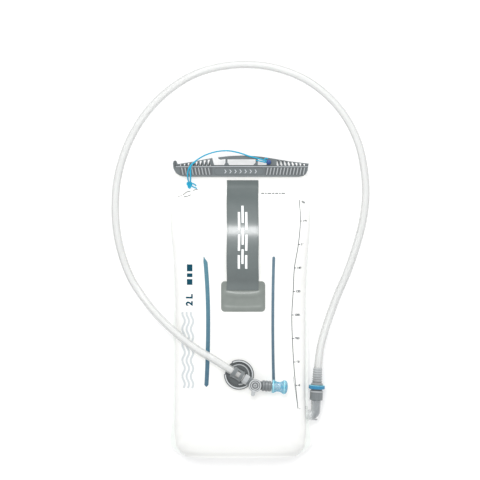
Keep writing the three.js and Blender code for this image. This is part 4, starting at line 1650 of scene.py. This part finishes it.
def clip_piece(name, shape, finish, nodes=(), bevel=0.0):
    return piece(name, shape, finish, "clip_base", nodes, bevel=bevel, place=CRADLE_TO_BASE)


# A pale band along the top of the clip's rim: painted highlight.
rim_highlight_band = revolve(
    rounded([(15.7, -6.5), (17.1, -6.5), (17.1, -6.12), (15.7, -6.12)], 0.15), 96, sweep=296, turn=-148
)
dish = clip_piece("clip_dish", clip_dish(), FITTING_DARK, ("clip_base",))
rails = clip_piece("clip_rails", clip_rails(), FITTING_DARK, bevel=0.3)
rim_light = clip_piece("clip_rim_band", rim_highlight_band, FITTING_PALE)


def cradle():
    """Two rings and a saddle on the hose, with the foot that holds a magnet."""
    around_hose = (
        revolve([(5.15, -10.5), (6.6, -10.5), (6.6, -5.4), (5.15, -5.4)], 72, 0.3),
        revolve([(5.15, -0.6), (6.6, -0.6), (6.6, 3.4), (5.15, 3.4)], 72, 0.3),
        revolve([(5.15, -5.8), (6.5, -5.8), (6.5, -0.2), (5.15, -0.2)], 60, 0.1, sweep=264, turn=-132),
        revolve([(6.4, -9.6), (7, -9.6), (7, -8.2), (6.4, -8.2)], 72, 0.25),
        revolve([(6.4, 1.2), (7, 1.2), (7, 2.6), (6.4, 2.6)], 72, 0.25),
    )
    # Turned to lie along the hose, the saddle's gap is on top.
    foot_profile = [(0, -7.3), (6.2, -7.3), (6.4, -7), (6.4, -5.4), (5.8, -5.2), (0, -5.2)]
    foot = revolve(foot_profile, 56, 0.2, bored=False)
    return merged(*[moved(p, Z_TO_X) for p in around_hose], moved(foot, Matrix.Translation((-1.5, 0, 0))))


# A pale raised arc inside the clip's rim, over part of its round only: painted highlight.
inner_profile = rounded([(11.2, -8.0), (11.5, -7.2), (12.6, -7.2), (12.9, -8.0)], 0.25)
inner_highlight_ring = clip_piece("clip_inner_ring", revolve(inner_profile, 96, sweep=230, turn=-60), FITTING_PALE)
cradle_piece = piece(
    "clip_hose_cradle", cradle(), FITTING_GREY, "clip_cradle", ("clip_cradle",), place=CLIP
)


# -------------------------------------------------------------------------- shut-off and bite valve
def hexagon(flat):
    """Six soft flats on a turned nut."""

    def ripple(angle, radius, height):
        if radius < flat * 0.9:
            return 0.0
        a = (angle + math.pi / 6) % (math.pi / 3) - math.pi / 6
        return min(0.0, flat / math.cos(a) * 0.985 - radius)

    return ripple


def valve_parts():
    """The body with its inlet, the barb that the hose is pushed over, and the outlet the collar turns on."""
    housing_profile = [(0, -5.1), (5.6, -5.1), (6.9, -3.9), (6.9, 4.4)]
    housing_profile += [(6.3, 5.1), (5.1, 5.1), (5.1, -3.5), (0, -3.5)]
    barb_profile = [(1.7, -26.5), (2.2, -26.5), (2.65, -25.6), (2.2, -22.8)]
    barb_profile += [(2.65, -22), (2.2, -19.2), (2.2, -16), (1.7, -16)]
    housing = revolve(housing_profile, 72, 0.3, bored=False)
    inlet = revolve([(1.9, -10.4), (5.2, -10.4), (5.2, -5.4), (1.9, -5.4)], 48, 0.3)
    barb = revolve(barb_profile, 32)
    outlet = revolve([(1.9, 5.3), (5.4, 5.3), (5.4, 7.9), (4.9, 7.9), (4.9, 19.8), (1.9, 19.8)], 48, 0.2)
    turned_outlet = moved(moved(outlet, Z_TO_X), turned_about_z(OUTLET_TURN))
    return merged(housing, moved(inlet, Z_TO_X), moved(barb, Z_TO_X), turned_outlet)


def inlet_nut():
    """The hexagonal nut that grips the hose on its barb."""
    outline = rounded([(4.6, -16.4), (5.6, -16.4), (5.9, -15.9), (5.9, -11), (5.6, -10.5), (4.6, -10.5)], 0.3)
    return moved(revolve(fine(outline, 0.5), 96, ripple=hexagon(5.45)), Z_TO_X)


valve_housing = piece(
    "valve_housing", valve_parts(), FITTING_GREY, "hose_line", ("valve_body",), place=VALVE
)
nut = piece("valve_inlet_nut", inlet_nut(), FITTING_PALE, "hose_line", (), place=VALVE)


def knob():
    """The turning disc with its stepped face, on the rotor that shuts the water off."""
    face = [(4.4, 4.6), (4.4, 5.45), (7.2, 5.45), (7.8, 6.1), (7.8, 7.5), (7.1, 8.2), (6.2, 8.2), (5.9, 7.75)]
    face += [(5.2, 7.75), (4.9, 8.2), (4.2, 8.2), (3.9, 7.6), (2.6, 7.6), (2.3, 8.0)]
    disc = revolve([(0, 4.6), *face, (0, 8.1)], 96, 0.2, bored=False)
    rotor = revolve([(0, -3.2), (4.55, -3.2), (4.55, 4.7), (0, 4.7)], 48, 0.2, bored=False)
    return merged(disc, rotor)


def knob_lever():
    outline = rounded([(-2.6, 5.6), (2.6, 5.6), (2.2, 12.2), (1.2, 13), (-1.2, 13), (-2.2, 12.2)], 0.7)
    return moved(prism(outline, 6.3, 8.0), turned_about_z(LEVER_TURN))


# Pale rings on the disc's stepped face: painted highlight on its rims.
def knob_rings():
    rings = []
    for inner, outer in ((6.1, 7.2), (4.1, 5.0), (1.2, 2.2)):
        rings.append(revolve([(inner, 7.6), (outer, 7.6), (outer, 8.45), (inner, 8.45)], 72, 0.25))
    return merged(*rings)


def knob_piece(name, shape, finish, nodes=(), bevel=0.0):
    return piece(name, shape, finish, "shutoff", nodes, bevel=bevel, place=VALVE)


knob_disc = knob_piece("shutoff_disc", knob(), KNOB_GREY, ("shutoff_knob",))
lever = knob_piece("shutoff_lever", knob_lever(), FITTING_PALE, bevel=0.3)
rings = knob_piece("shutoff_disc_highlight_rings", knob_rings(), FITTING_PALE)


def collar():
    """The grooved and fluted collar that the mouthpiece turns with."""
    steps = [(5.25, 8.3), (6.2, 8.3), (6.6, 8.9), (6.6, 11.2), (6.1, 11.5), (6.1, 12.3), (6.6, 12.6)]
    steps += [(6.6, 15), (6.1, 15.3), (6.1, 16.1), (6.5, 16.4), (6.5, 18.6), (6, 19.4), (5.25, 19.4)]
    return moved(revolve(fine(rounded(steps, 0.2), 0.5), 96, ripple=grip(20, 0.22, 8.8, 11.2)), Z_TO_X)


def flattened(shape):
    """A turned mouthpiece shape along its outlet, made oval."""
    return moved(moved(shape, Z_TO_X), Matrix.Scale(0.8, 4, (0, 0, 1)))


def bite():
    """The soft mouthpiece: a waisted sleeve with a wide lip."""
    outer = [(2, 20.3), (7, 20.3), (8, 21.2), (8, 22.8), (7.1, 24.2), (6.1, 26.2), (5.9, 28.4), (6.2, 30.6)]
    outer += [(7.2, 32.4), (8.3, 33.8), (8.6, 35.4), (7.9, 37.4), (5.6, 39), (3.4, 39.4), (2, 39)]
    return flattened(revolve(outer, 72, 0.8))


def bite_bands():
    """Moulded rings near the foot and at the lip of the mouthpiece, painted pale cyan as highlight."""
    made = []
    for at, radius in ((22, 8.1), (35.3, 8.66)):
        inner = radius - 0.7
        low = at - 0.5
        high = at + 0.5
        made.append(revolve([(inner, low), (radius, low), (radius, high), (inner, high)], 56, 0.3))
    return flattened(merged(*made))


def bite_spigot():
    """Inside the mouthpiece, where it is pushed on."""
    return moved(revolve([(1.2, 19.9), (3.9, 19.9), (3.6, 31), (1.2, 31)], 40, 0.3), Z_TO_X)


def mouth_piece(name, shape, finish, nodes=()):
    return piece(name, shape, finish, "mouthpiece", nodes, place=OUTLET)


swivel = mouth_piece("swivel_sleeve", collar(), FITTING_GREY, ("swivel_collar",))
mouth = mouth_piece("bite_valve_sleeve", bite(), SILICONE, ("bite_valve",))
bands = mouth_piece("bite_valve_highlight_bands", bite_bands(), CYAN_HIGHLIGHT)
core = mouth_piece("bite_valve_spigot", bite_spigot(), HOSE_INNER)

# The small working parts that stay as packed get their finishes.
KEPT = {
    "tether_eyelet": FILM_FINISH,
    "port_ring": PORT_CLEAR,
    "poppet": FITTING_PALE,
    "poppet_spring": STEEL,
    "hose_plug": FITTING_GREY,
    "plug_seal": SEAL,
    "knob_seal": SEAL,
    "cradle_magnet": STEEL,
    "base_magnet": STEEL,
}
for node, finish in KEPT.items():
    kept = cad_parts[node]
    kept.data.materials.clear()
    kept.data.materials.append(finish)

in_metres(hose_line[::6] + [hose_line[-1]])
in_metres(tether_line[::8] + [tether_line[-1]])


# -------------------------------------------------------------------------- floor and light
def studio():
    """A white floor under an even sky, with two lamps."""
    finish = Finish("studio_floor")
    grain = finish.noise(30, 2)
    finish.surface(finish.mix(grain, tone(241, 241, 241), tone(244, 244, 244)), 0.7 + 0.1 * grain)
    mesh = bpy.data.meshes.new("floor")
    mesh.from_pydata([(-6, -6, 0), (6, -6, 0), (6, 6, 0), (-6, 6, 0)], [], [(0, 1, 2, 3)])
    mesh.materials.append(finish.material)
    floor = bpy.data.objects.new("floor", mesh)
    bpy.context.scene.collection.objects.link(floor)

    world = bpy.data.worlds.new("studio")
    world.use_nodes = True
    world.node_tree.nodes["Background"].inputs["Color"].default_value = (0.985, 0.99, 1, 1)
    world.node_tree.nodes["Background"].inputs["Strength"].default_value = 0.8
    bpy.context.scene.world = world
    # The key gives the soft shadow below the reservoir and the strip gives the gloss.
    for name, size, height, power, at in (
        ("key", 0.6, 0.6, 13, (-0.12, 0.6, 2.2)),
        ("strip", 1.0, 0.36, 17, (0.0, 1.33, 1.49)),
    ):
        lamp = bpy.data.lights.new(name, "AREA")
        lamp.shape = "RECTANGLE"
        lamp.size = size
        lamp.size_y = height
        lamp.energy = power
        made = bpy.data.objects.new(name, lamp)
        made.location = at
        lamp.use_shadow = name != "strip"
        made.visible_glossy = name != "key"
        made.rotation_euler = (Vector((0, 0.05, 0)) - Vector(at)).to_track_quat("-Z", "Y").to_euler()
        bpy.context.scene.collection.objects.link(made)
    bpy.context.scene.view_settings.view_transform = "Standard"


studio()
